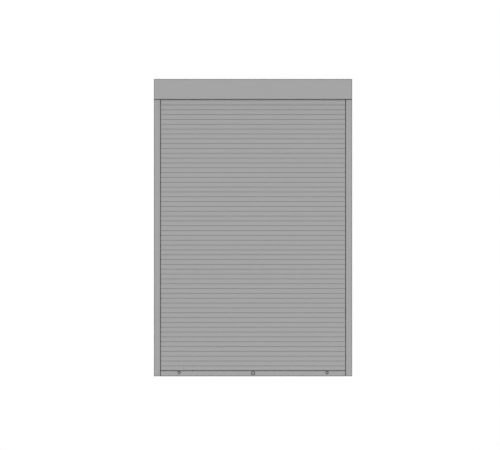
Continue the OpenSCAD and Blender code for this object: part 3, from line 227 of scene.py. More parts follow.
@dataclass(frozen=True)
class PowderCoat(Finish):
    """Baked polyester powder on aluminium: an even satin film, faintly clouded, with an orange peel, and
    painted shade along its edges and joints.

    Attributes:
        edges: Lowest and highest corners of the box along whose edges shade is painted, where the piece is a
            box.
        shaded_above_z: Height over which the piece lies in a joint that is painted dark all over as shade,
            where it has one.
        cloud: Size of the clouds left by an uneven film.
        streak_w: Width of the dried rain streaks.
        streak_l: Length of the streaks.
        streak_share: Share of the streaks in the mottle.
        peel: Size of the peel's cells, which are really about 1 mm and drawn coarser so that they show.
        painted_shade: Colour of the painted shade along edges and joints.
        shade_w: How far the painted shade reaches from an edge.
        shade_most: Share of painted shade right at an edge.
    """

    edges: tuple[Vector, Vector] | None = None
    shaded_above_z: float | None = None
    cloud: float = 350 * MM
    streak_w: float = 14 * MM
    streak_l: float = 600 * MM
    streak_share: float = 0.4
    peel: float = 2.5 * MM
    # Painted shade: a dark tone laid along the edges and into the joints, where shade falls
    painted_shade: str = "#2B2A28"
    shade_w: float = 7 * MM
    shade_most: float = 0.9

    def shade(self, tree: Tree) -> Node:
        """Builds the coat: clouds and rain streaks in the tone, painted shade in the joints and along the
        edges, and the peel.

        Args:
            tree: The material's tree.

        Returns:
            The shader.
        """
        clouds = self.patches(tree, (self.cloud,) * 3)
        streaks = self.patches(tree, (self.streak_w, self.streak_w, self.streak_l))
        mottle = add(tree, "ShaderNodeMix", inputs={
            FACTOR: self.streak_share, NUMBER_A: clouds, NUMBER_B: streaks}).outputs[0]
        shader = self.surface(tree, mottle, self.patches(tree, (self.peel,) * 3))
        unshaded_tone = shader.inputs["Base Color"].links[0].from_socket
        # Painted shade: a dark tone mixed in along the edges of the piece's box, or where the mesh marks its
        # joints
        if self.edges:
            share = self.edge_shade(tree)
        else:
            share = add(tree, "ShaderNodeAttribute", {"attribute_name": "joint_dirt"}).outputs["Fac"]
        shaded_tone = add(tree, "ShaderNodeMix", {"data_type": "RGBA"}, {
            FACTOR: share, COLOUR_A: unshaded_tone, COLOUR_B: to_linear(self.painted_shade)})
        tree.links.new(shaded_tone.outputs[MIXED_COLOUR], shader.inputs["Base Color"])
        return shader

    def edge_shade(self, tree: Tree) -> Socket:
        """Finds where two faces of the piece's box meet, for the painted shade along them.

        Args:
            tree: The material's tree.

        Returns:
            The share of painted shade, highest at the edges.
        """
        where = add(tree, "ShaderNodeTexCoord").outputs["Object"]
        axes = add(tree, "ShaderNodeSeparateXYZ", inputs={0: where}).outputs
        near = []
        for along, low, high in zip(axes, *self.edges):
            off = add(tree, "ShaderNodeMath", {"operation": "SUBTRACT"}, {0: along, 1: (low + high) / 2})
            away = add(tree, "ShaderNodeMath", {"operation": "ABSOLUTE"}, {0: off.outputs[0]})
            near.append(add(tree, "ShaderNodeMapRange", {"interpolation_type": "SMOOTHSTEP"}, {
                "Value": away.outputs[0], "From Min": (high - low) / 2 - self.shade_w,
                "From Max": (high - low) / 2, "To Max": self.shade_most}).outputs[0])
        spots = [add(tree, "ShaderNodeMath", {"operation": "MINIMUM"}, {0: near[i], 1: near[i - 1]})
                 for i in range(len(near))]
        # Everything above this height is painted fully dark, as shade in the joint
        if self.shaded_above_z is not None:
            spots.append(add(tree, "ShaderNodeMath", {"operation": "GREATER_THAN"}, {
                0: axes["Z"], 1: self.shaded_above_z}))
        most = spots[0]
        for spot in spots[1:]:
            most = add(tree, "ShaderNodeMath", {"operation": "MAXIMUM"}, {
                0: most.outputs[0], 1: spot.outputs[0]})
        return most.outputs[0]


@dataclass(frozen=True)
class WorkedMetal(Finish):
    """Bare or plated metal that shows how it was worked.

    Attributes:
        pattern: Grain left by drawing, turning or plating, or the spangle of a zinc bath.
        cell: Size of the pattern along X, Y and Z, long along the direction of the work.
    """

    pattern: Pattern = Pattern.GRAIN
    cell: Cell = (2 * MM,) * 3

    def shade(self, tree: Tree) -> Node:
        """Builds the metal, whose pattern moves its tone, gloss and relief together.

        Args:
            tree: The material's tree.

        Returns:
            The shader.
        """
        where = self.in_cells(tree, self.cell)
        marks = add(tree, self.pattern.value, inputs={"Vector": where, "Scale": 1.0})
        level = marks.outputs["Color"] if self.pattern is Pattern.SPANGLE else marks.outputs[0]
        mottle = add(tree, "ShaderNodeRGBToBW", inputs={"Color": level}).outputs["Val"]
        return self.surface(tree, mottle, marks.outputs[0], metallic=1.0)


@dataclass(frozen=True)
class Polymer(Finish):
    """Plastic or rubber: soft marks in its tone, and the fine relief that its mould or die left.

    Attributes:
        marks: Size of the marks along X, Y and Z.
        relief: Size of the relief along X, Y and Z.
    """

    marks: Cell = (40 * MM, 15 * MM, 40 * MM)
    relief: Cell = (0.8 * MM,) * 3

    def shade(self, tree: Tree) -> Node:
        """Builds the shader from the marks and the relief."""
        return self.surface(tree, self.patches(tree, self.marks), self.patches(tree, self.relief))


# Mid grey satin film on all the aluminium: soft, broad highlights and no mirror image
COAT = "#A5A5A5"
MATT = (0.6, 0.7)
# Strip painted before it is rolled into slats: the same grey, with painted shade drawn into its joints
SLAT_COAT = PowderCoat("slat_aluminium", "roll_coated_slat_strip", COAT, rough=MATT)
# Zinc bath on the tube and bracket: pale, with flat crystals that catch the light one by one
GALVANISED = WorkedMetal("galvanised_steel", "hot_dip_galvanised_steel", "#B7BABC", contrast=0.22,
                         rough=(0.32, 0.55), pattern=Pattern.SPANGLE, cell=(9 * MM,) * 3)
# Cold drawn bar: mid grey, with a fine grain along its length that stretches the highlight
DRAWN_STEEL = WorkedMetal("plain_steel", "bright_drawn_steel", "#9A9A9C", contrast=0.12, rough=(0.28, 0.42),
                          cell=(40 * MM, 0.8 * MM, 0.8 * MM))
# Oil-tempered wire and strip: dark, blotched by the temper, with a dim sheen
SPRING_STEEL = WorkedMetal("spring_steel", "oil_tempered_spring_steel", "#5F6064", contrast=0.18,
                           rough=(0.35, 0.5), cell=(6 * MM,) * 3)
# Ground rings and balls: bright and nearly a mirror, with hair lines round the axis
BEARING_STEEL = WorkedMetal("bearing_steel", "ground_bearing_steel", "#CBCBCD", contrast=0.05,
                            rough=(0.12, 0.2), cell=(0.6 * MM, 8 * MM, 8 * MM))
# Thin bright plate on screws and rivets: silver with a trace of yellow, slightly cloudy
ZINC = WorkedMetal("zinc_screws", "bright_zinc_plate", "#BDBDB7", contrast=0.12, rough=(0.28, 0.42),
                   cell=(1.5 * MM,) * 3)
# Rolled flat bar under zinc: silver, with faint marks along the bar
BOLT_STEEL = WorkedMetal("bolt_steel", "zinc_plated_flat_bar", "#B4B4B6", contrast=0.1, rough=(0.3, 0.42),
                         cell=(60 * MM, 0.8 * MM, 0.8 * MM))
# Brushed and plated lock parts: warm grey, with a soft glow and no sharp image
NICKEL = WorkedMetal("lock_nickel", "satin_nickel_plate", "#A3A2A0", contrast=0.06, rough=(0.35, 0.45),
                     cell=(0.7 * MM, 20 * MM, 0.7 * MM))
# Cut pinion: pale gold, with tool marks across its teeth
BRASS = WorkedMetal("pinion_brass", "cut_free_machining_brass", "#C9AE6C", contrast=0.12, rough=(0.25, 0.4),
                    cell=(3 * MM, 0.5 * MM, 3 * MM))
# Black mouldings: near black, with faint flow marks and a dull sheen; the mould's grain, really about 0.3 mm,
# is drawn coarser
BLACK_NYLON = Polymer("black_plastic", "moulded_black_nylon", "#272727", contrast=0.1,
                      rough=(0.45, 0.55), depth=0.03 * MM)
# Grey mouldings: a touch paler than the coat, a little shinier and even
GREY_NYLON = Polymer("grey_plastic", "moulded_grey_nylon", "#AEAEAE", rough=(0.45, 0.55), depth=0.03 * MM)
# Seals and pads: the darkest pieces, so dull that they draw black lines beside the curtain, with patches of
# pale wax and the die's lines along their length
RUBBER = Polymer("black_rubber", "extruded_black_weather_seal", "#1F1F1F", contrast=0.3, rough=(0.7, 0.88),
                 depth=0.03 * MM, marks=(30 * MM,) * 3, relief=(0.6 * MM, 0.6 * MM, 60 * MM))
# Brush: black and broken up, with light caught on single crimped filaments, drawn thicker than they are
PILE = Polymer("brush_pile", "crimped_black_filaments", "#262626", contrast=0.4, rough=(0.6, 0.75),
               depth=0.1 * MM, marks=(1.2 * MM, 40 * MM, 1.2 * MM), relief=(0.5 * MM,) * 3)


def coat(finish: Finish, *nodes: str) -> None:
    """Gives CAD nodes whose shape is right their finish.

    Args:
        finish: The finish they wear.
        nodes: The nodes' names.
    """
    for node in nodes:
        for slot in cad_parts[node].material_slots:
            slot.material = finish.material()
        log.info("%s keeps its solid, in %s", node, finish.name)


def powder_coat(slot: str, *nodes: str, shaded_above_z: float | None = None) -> None:
    """Gives box-shaped CAD nodes each its own powder coat, with painted shade along the edges of its box.

    Args:
        slot: The record's material slot.
        nodes: The nodes' names.
        shaded_above_z: Height over which they lie in a joint that is painted dark all over as shade, where
            they have one.
    """
    for node in nodes:
        name = f"powder_coated_{node}"
        coat(PowderCoat(slot, name, COAT, rough=MATT, edges=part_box(node), shaded_above_z=shaded_above_z), node)


def to_mesh(name: str, bm: bmesh.types.BMesh) -> bpy.types.Mesh:
    """Turns a bmesh into a mesh that is smooth up to the crease, with its faces outwards.

    Args:
        name: The mesh's name.
        bm: The bmesh, freed here.

    Returns:
        The mesh.
    """
    bmesh.ops.recalc_face_normals(bm, faces=bm.faces)
    mesh = bpy.data.meshes.new(name)
    bm.to_mesh(mesh)
    bm.free()
    mesh.shade_smooth()
    mesh.set_sharp_from_angle(angle=CREASE)
    return mesh


def link(name: str, data: bpy.types.ID) -> bpy.types.Object:
    """Puts a mesh, a lamp or a camera into the scene, unmoved.

    Args:
        name: The object's name.
        data: What it holds.

    Returns:
        The object.
    """
    thing = bpy.data.objects.new(name, data)
    bpy.context.scene.collection.objects.link(thing)
    return thing


def settle(piece: bpy.types.Object, body: str, finish: Finish, *nodes: str) -> None:
    """Lets a finished piece ride on its body in place of CAD nodes.

    Args:
        piece: A plain mesh object with its place in its vertices.
        body: The body that carries it.
        finish: The finish it wears.
        nodes: The CAD nodes that it stands for.
    """
    if not piece.data.materials:
        piece.data.materials.append(finish.material())
    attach(piece, body)
    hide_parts(*nodes)
    log.info("%s rides on %s, %d faces", piece.name, body, len(piece.data.polygons))


def arc(centre: Point, radius: float, start: float, end: float, steps: int) -> Loop:
    """Gives points along an arc, with both ends.

    Args:
        centre: The arc's centre.
        radius: Its radius.
        start: The first angle, in degrees.
        end: The last angle, in degrees.
        steps: How many chords it has.

    Returns:
        The points in order.
    """
    angles = [math.radians(start + (end - start) * i / steps) for i in range(steps + 1)]
    return [(centre[0] + radius * math.cos(a), centre[1] + radius * math.sin(a)) for a in angles]


def extruded(loops: list[Loop], x0: float, x1: float) -> bmesh.types.BMesh:
    """Draws a section in Y and Z out along X.

    Args:
        loops: The section's outline, then its hollows.
        x0: Where it starts.
        x1: Where it ends.

    Returns:
        A closed solid.
    """
    bm = bmesh.new()
    edges = []
    for loop in loops:
        ring = [bm.verts.new((x0, y, z)) for y, z in loop]
        edges += [bm.edges.new(pair) for pair in zip(ring, ring[1:] + ring[:1])]
    end = bmesh.ops.triangle_fill(bm, use_beauty=True, edges=edges)["geom"]
    faces = [part for part in end if isinstance(part, bmesh.types.BMFace)]
    drawn = bmesh.ops.extrude_face_region(bm, geom=faces)["geom"]
    corners = [part for part in drawn if isinstance(part, bmesh.types.BMVert)]
    bmesh.ops.translate(bm, vec=(x1 - x0, 0, 0), verts=corners)
    return bm


def skinned(rings: list[list[Cell]]) -> bmesh.types.BMesh:
    """Stretches a skin over a row of rings and closes its ends.

    Args:
        rings: The points of each ring, the same number in all.

    Returns:
        A closed solid.
    """
    bm = bmesh.new()
    courses = [[bm.verts.new(point) for point in ring] for ring in rings]
    for inner, outer in zip(courses, courses[1:]):
        for i, vert in enumerate(inner):
            bm.faces.new((vert, inner[i - 1], outer[i - 1], outer[i]))
    for end in (courses[0], courses[-1]):
        bm.faces.new(end)
    return bm


def merged(node: str) -> bmesh.types.BMesh:
    """Copies a CAD node's loose triangles and joins them at their corners.

    Args:
        node: The node's name.

    Returns:
        The node's solids.
    """
    bm = bmesh.new()
    bm.from_mesh(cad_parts[node].data)
    bmesh.ops.remove_doubles(bm, verts=bm.verts, dist=MERGE)
    return bm


def solids_of(node: str) -> list[list[Vector]]:
    """Splits a CAD node into its separate solids.

    Args:
        node: The node's name.

    Returns:
        The corner points of each solid.
    """
    bm = merged(node)
    left = set(bm.verts)
    solids = []
    while left:
        reach = [left.pop()]
        solid = []
        while reach:
            vert = reach.pop()
            solid.append(vert.co.copy())
            for edge in vert.link_edges:
                other = edge.other_vert(vert)
                if other in left:
                    left.remove(other)
                    reach.append(other)
        solids.append(solid)
    bm.free()
    return solids


def cut_of(node: str, plane_y: float = 0.0, way: float = 0.0) -> bpy.types.Mesh:
    """Copies a CAD node's shape, or the part of it on one side of a plane across Y.

    Args:
        node: The node's name.
        plane_y: Where the plane is.
        way: 1 to keep what lies behind the plane, -1 for what lies before it, and 0 for all.

    Returns:
        The closed mesh.
    """
    bm = merged(node)
    if way:
        bmesh.ops.bisect_plane(bm, geom=[*bm.verts, *bm.edges, *bm.faces], plane_co=(0, plane_y, 0),
                               plane_no=(0, way, 0), clear_inner=True)
        bmesh.ops.holes_fill(bm, edges=bm.edges)
    return to_mesh(node, bm)


class Recipe:
    """A Geometry Nodes tree with named inputs, whose result becomes a plain mesh."""

    def __init__(self, name: str, **inputs: str) -> None:
        """Starts the tree.

        Args:
            name: The tree's name.
            inputs: The kind of socket for each named input; the finish is always one.
        """
        self.tree = bpy.data.node_groups.new(name, "GeometryNodeTree")
        sockets = self.tree.interface
        sockets.new_socket("Geometry", in_out="INPUT", socket_type="NodeSocketGeometry")
        self.keys = {
            label: sockets.new_socket(label, in_out="INPUT", socket_type=f"NodeSocket{kind}").identifier
            for label, kind in {**inputs, "finish": "Material"}.items()}
        sockets.new_socket("Geometry", in_out="OUTPUT", socket_type="NodeSocketGeometry")
        self.given = add(self.tree, "NodeGroupInput").outputs

    def close(self, geometry: Socket) -> None:
        """Ends the tree with real meshes in their material.

        Args:
            geometry: What the tree has made.
        """
        real = add(self.tree, "GeometryNodeRealizeInstances", inputs={"Geometry": geometry})
        worn = add(self.tree, "GeometryNodeSetMaterial", inputs={
            "Geometry": real.outputs["Geometry"], "Material": self.given["finish"]})
        add(self.tree, "NodeGroupOutput", inputs={"Geometry": worn.outputs["Geometry"]})

    def bake(self, piece: bpy.types.Object, finish: Finish, **values: object) -> None:
        """Runs the tree on a piece and keeps the result as its mesh.

        Args:
            piece: The object whose mesh goes in.
            finish: The finish that the result wears.
            values: The other inputs by name.
        """
        modifier = piece.modifiers.new(self.tree.name, "NODES")
        modifier.node_group = self.tree
        for label, value in {**values, "finish": finish.material()}.items():
            modifier[self.keys[label]] = value
        graph = bpy.context.evaluated_depsgraph_get()
        mesh = bpy.data.meshes.new_from_object(
            piece.evaluated_get(graph), preserve_all_data_layers=True, depsgraph=graph)
        piece.modifiers.remove(modifier)
        piece.data = mesh


class SlatCourse(Recipe):
    """Repeats one slat up the curtain."""

    def __init__(self) -> None:
        """Builds the tree: a line of points, a pitch apart, with a slat on each."""
        super().__init__("slat_course", count="Int", pitch="Float")
        step = add(self.tree, "ShaderNodeCombineXYZ", inputs={"Z": self.given["pitch"]})
        line = add(self.tree, "GeometryNodeMeshLine", {"mode": "OFFSET"}, {
            "Count": self.given["count"], "Offset": step.outputs["Vector"]})
        slats = add(self.tree, "GeometryNodeInstanceOnPoints", inputs={
            "Points": line.outputs["Mesh"], "Instance": self.given["Geometry"]})
        self.close(slats.outputs["Instances"])


class ScrewSet(Recipe):
    """Sets one screw at each point, along the point's own aim, its recess turned at random."""

    def __init__(self) -> None:
        """Builds the tree: align to the aim, spin about it, and place."""
        super().__init__("screw_set", screw="Object", seed="Int")
        screw = add(self.tree, "GeometryNodeObjectInfo", inputs={"Object": self.given["screw"]})
        aim = add(self.tree, "GeometryNodeInputNamedAttribute", {"data_type": "FLOAT_VECTOR"}, {
            "Name": "aim"})
        upright = add(self.tree, "FunctionNodeAlignRotationToVector", {"axis": "Z"}, {
            "Vector": aim.outputs["Attribute"]})
        angle = add(self.tree, "FunctionNodeRandomValue", {"data_type": "FLOAT"}, {
            LEAST_NUMBER: 0.0, MOST_NUMBER: math.tau, "Seed": self.given["seed"]})
        spin = add(self.tree, "FunctionNodeAxisAngleToRotation", inputs={
            "Axis": (0, 0, 1), "Angle": angle.outputs[PICKED_NUMBER]})
        turned = add(self.tree, "FunctionNodeRotateRotation", {"rotation_space": "LOCAL"}, {
            "Rotation": upright.outputs["Rotation"], "Rotate By": spin.outputs["Rotation"]})
        screws = add(self.tree, "GeometryNodeInstanceOnPoints", inputs={
            "Points": self.given["Geometry"], "Instance": screw.outputs["Geometry"],
            "Rotation": turned.outputs["Rotation"]})
        self.close(screws.outputs["Instances"])


class BristleRow(Recipe):
    """Plants one bristle along a line, each a little out of place and a little aslant."""

    def __init__(self) -> None:
        """Builds the tree: a line of points, jittered, with a leaning bristle on each."""
        super().__init__("bristle_row", count="Int", start="Vector", step="Vector", scatter="Vector",
                         lean="Vector", seed="Int")
        line = add(self.tree, "GeometryNodeMeshLine", {"mode": "OFFSET"}, {
            "Count": self.given["count"], "Start Location": self.given["start"],
            "Offset": self.given["step"]})
        jitter = self.plus_or_minus(self.given["scatter"])
        spread = add(self.tree, "GeometryNodeSetPosition", inputs={
            "Geometry": line.outputs["Mesh"], "Offset": jitter})
        slant = add(self.tree, "FunctionNodeEulerToRotation", inputs={
            "Euler": self.plus_or_minus(self.given["lean"])})
        bristles = add(self.tree, "GeometryNodeInstanceOnPoints", inputs={
            "Points": spread.outputs["Geometry"], "Instance": self.given["Geometry"],
            "Rotation": slant.outputs["Rotation"]})
        self.close(bristles.outputs["Instances"])

    def plus_or_minus(self, most: Socket) -> Socket:
        """Picks a random vector for each point.

        Args:
            most: The limit, to both sides of nought.

        Returns:
            The vector.
        """
        least = add(self.tree, "ShaderNodeVectorMath", {"operation": "SCALE"}, {0: most, "Scale": -1.0})
        pick = add(self.tree, "FunctionNodeRandomValue", {"data_type": "FLOAT_VECTOR"}, {
            LEAST_VECTOR: least.outputs[0], MOST_VECTOR: most, "Seed": self.given["seed"]})
        return pick.outputs[0]


class WireSweep(Recipe):
    """Draws round wire along a path of points."""

    def __init__(self) -> None:
        """Builds the tree: the path as a curve, swept by a ring."""
        super().__init__("wire_sweep", radius="Float", sides="Int")
        path = add(self.tree, "GeometryNodeMeshToCurve", inputs={"Mesh": self.given["Geometry"]})
        ring = add(self.tree, "GeometryNodeCurvePrimitiveCircle", inputs={
            "Resolution": self.given["sides"], "Radius": self.given["radius"]})
        wire = add(self.tree, "GeometryNodeCurveToMesh", inputs={
            "Curve": path.outputs["Curve"], "Profile Curve": ring.outputs["Curve"], "Fill Caps": True})
        self.close(wire.outputs["Mesh"])


class HeadForm(Enum):
    """The form of a screw's head: its rim from the top down, in shares of its radius and its height."""

    PAN = ((0.72, 0.0), (0.92, 0.12), (1.0, 0.4), (1.0, 1.0))
    FLUSH = ((1.0, 0.0),)


@dataclass
class Screws:
    """Cross-recessed screws in the place of one CAD node's plain ones.

    Attributes:
        node: The CAD node that they stand for.
        body: The body that carries them.
        form: The form of their heads.
        head_h: Height of the head.
        shank_share: The shank's radius as a share of the head's.
        arm: Reach of the recess's arms as a share of the head's radius.
        arm_w: Half the arms' width as a share of the head's radius.
        sink: Depth of the recess as a share of the head's height.
        taper: Size of the recess's floor as a share of its mouth.
        seed: Sets how the recesses are turned.
    """

    node: str
    body: str
    form: HeadForm
    head_h: float
    shank_share: float = 0.55
    arm: float = 0.58
    arm_w: float = 0.11
    sink: float = 0.6
    taper: float = 0.7
    seed: int = 3

    def build(self) -> None:
        """Makes one screw to the CAD's size and sets it at each of the CAD's places."""
        solids = solids_of(self.node)
        heads = [self.head(points) for points in solids]
        low, high, along = self.span(solids[0])
        size = high - low
        screw = link(f"{self.node}_one", self.screw(size[(along + 1) % 3] / 2, size[along]))
        spots = bpy.data.meshes.new(f"{self.node}_heads")
        spots.from_pydata([top for top, _ in heads], [], [])
        aims = spots.attributes.new("aim", "FLOAT_VECTOR", "POINT")
        for spot, (_, aim) in zip(aims.data, heads):
            spot.vector = aim
        piece = link(f"{self.node}_recessed", spots)
        ScrewSet().bake(piece, ZINC, screw=screw, seed=self.seed)
        bpy.data.objects.remove(screw)
        settle(piece, self.body, ZINC, self.node)

    def span(self, points: list[Vector]) -> tuple[Vector, Vector, int]:
        """Measures a CAD screw.

        Args:
            points: The screw's corner points.

        Returns:
            Its lowest and highest corners, and the axis that it is round about.
        """
        low = Vector(min(p[i] for p in points) for i in range(3))
        high = Vector(max(p[i] for p in points) for i in range(3))
        size = high - low
        return low, high, min(range(3), key=lambda i: abs(size[i - 1] - size[i - 2]))

    def head(self, points: list[Vector]) -> tuple[Vector, Vector]:
        """Finds a CAD screw's head.

        Args:
            points: The screw's corner points.

        Returns:
            The middle of the head's top, and the way it looks.
        """
        low, high, along = self.span(points)
        middle = (low + high) / 2
        reach = {}
        for end in (low, high):
            rim = [p for p in points if abs(p[along] - end[along]) < MERGE]
            reach[end[along]] = max((p - middle)[(along + 1) % 3] for p in rim)
        top = max(reach, key=reach.get)
        aim = Vector((0, 0, 0))
        aim[along] = math.copysign(1, top - middle[along])
        middle[along] = top
        return middle, aim

    def recess(self, angle: float) -> float:
        """Draws the cross recess.

        Args:
            angle: A direction from its middle.

        Returns:
            The recess's reach that way, as a share of the head's radius.
        """
        along, across = abs(math.cos(angle)), abs(math.sin(angle))
        flat = min(self.arm / max(along, MERGE), self.arm_w / max(across, MERGE))
        upright = min(self.arm / max(across, MERGE), self.arm_w / max(along, MERGE))
        return max(flat, upright)

    def screw(self, radius: float, length: float) -> bpy.types.Mesh:
        """Turns one screw about Z, the top of its head at the origin.

        Args:
            radius: The head's radius.
            length: The whole length.

        Returns:
            The screw's mesh.
        """
        corner, half = math.atan2(self.arm_w, self.arm), math.pi / 4
        turns = (0, corner, (corner + half) / 2, half, 2 * half - (corner + half) / 2, 2 * half - corner)
        angles = [2 * half * quarter + turn for quarter in range(4) for turn in turns]
        shank = radius * self.shank_share
        mouth = [radius * self.recess(a) for a in angles]
        rings = [([self.taper * reach for reach in mouth], self.sink * self.head_h), (mouth, 0.0)]
        rings += [([radius * share] * len(angles), self.head_h * down) for share, down in self.form.value]
        rings += [([shank] * len(angles), z) for z in (self.head_h, length)]
        skin = skinned([[(r * math.cos(a), r * math.sin(a), -z) for r, a in zip(reaches, angles)]
                        for reaches, z in rings])
        return to_mesh(f"{self.node}_one", skin)


@dataclass
class Box:
    """The box that the curtain winds into: sheet casing, front cover, cast ends and slot brush.

    Attributes:
        sheet: Thickness of the sheet that the brush clips over.
        clip_wall: Wall of the brush's clip.
        clip_play: Play between clip and sheet.
        clip_roof: Thickness of the clip over the sheet's edge.
        shank_share: Radius of the screws' shanks as a share of their heads'.
        bristle_r: Radius of a bristle, thicker than the real 0.1 mm so that a row is few enough.
        bristle_tip: Radius of its tip as a share of that.
        bristle_root: How deep it stands in the clip.
        bristle_sides: Sides of a bristle.
        bristle_step: Distance between bristles.
        pile_t: Thickness of the pile.
        pile_drop: Middle of the pile below the top of the clip.
        lean: Most that a bristle leans about X, Y and Z, in radians.
        seed: Sets how the bristles stray.
    """

    sheet: float = 1.3 * MM
    clip_wall: float = 1.5 * MM
    clip_play: float = 0.15 * MM
    clip_roof: float = 1.85 * MM
    shank_share: float = 0.5
    bristle_r: float = 0.45 * MM
    bristle_tip: float = 0.7
    bristle_root: float = 0.5 * MM
    bristle_sides: int = 3
    bristle_step: float = 1.1 * MM
    pile_t: float = 2.4 * MM
    pile_drop: float = 4.2 * MM
    lean: Cell = (0.03, 0.0, 0.05)
    seed: int = 11

    def build(self) -> None:
        """Dresses the box and builds its screws and brush."""
        powder_coat("box_aluminium", "casing_back", "front_cover")
        powder_coat("end_cap_aluminium", "left_end_cap", "right_end_cap")
        coat(BLACK_NYLON, "curtain_inlets")
        Screws("box_screws", "housing", HeadForm.FLUSH, self.sheet, self.shank_share).build()
        self.brush_clip()
        self.brush_pile()

    def clip_front(self) -> float:
        """Gives where the clip ends and the pile begins, along Y."""
        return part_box("slot_brush")[0].y + self.sheet + 2 * self.clip_wall

    def brush_clip(self) -> None:
        """Builds the clip that holds the pile on the edge of the slot."""
        low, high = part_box("slot_brush")
        front, roof = self.clip_front(), high.z - self.clip_roof
        near, far = low.y + self.clip_wall - self.clip_play, front - self.clip_wall + self.clip_play
        section = [(low.y, low.z), (near, low.z), (near, roof), (far, roof), (far, low.z),
                   (front, low.z), (front, high.z), (low.y, high.z)]
        piece = link("slot_brush_clip", to_mesh("slot_brush_clip", extruded([section], low.x, high.x)))
        settle(piece, "housing", BLACK_NYLON, "slot_brush")

    def brush_pile(self) -> None:
        """Plants the bristles that close the slot against the curtain."""
        low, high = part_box("slot_brush")
        root, tip = self.clip_front() - self.bristle_root, high.y
        angles = [math.tau * i / self.bristle_sides for i in range(self.bristle_sides)]
        rings = [[(r * math.cos(a), y, r * math.sin(a)) for a in angles]
                 for r, y in ((self.bristle_r, 0), (self.bristle_r * self.bristle_tip, tip - root))]
        piece = link("slot_brush_pile", to_mesh("slot_brush_pile", skinned(rings)))
        BristleRow().bake(
            piece, PILE, count=int((high.x - low.x) / self.bristle_step),
            start=(low.x + self.bristle_step / 2, root, high.z - self.pile_drop),
            step=(self.bristle_step, 0, 0), scatter=(0, 0, self.pile_t / 2 - self.bristle_r),
            lean=self.lean, seed=self.seed)
        settle(piece, "housing", PILE, "slot_brush")


class Guides:
    """The two upright channels with their seals, foot plugs and bolt keepers."""

    def build(self) -> None:
        """Dresses the guides."""
        powder_coat("guide_aluminium", "left_guide", "right_guide")
        coat(RUBBER, "guide_seals")
        coat(GREY_NYLON, "guide_plugs")
        coat(DRAWN_STEEL, "bolt_keepers")
        coat(ZINC, "keeper_rivets")


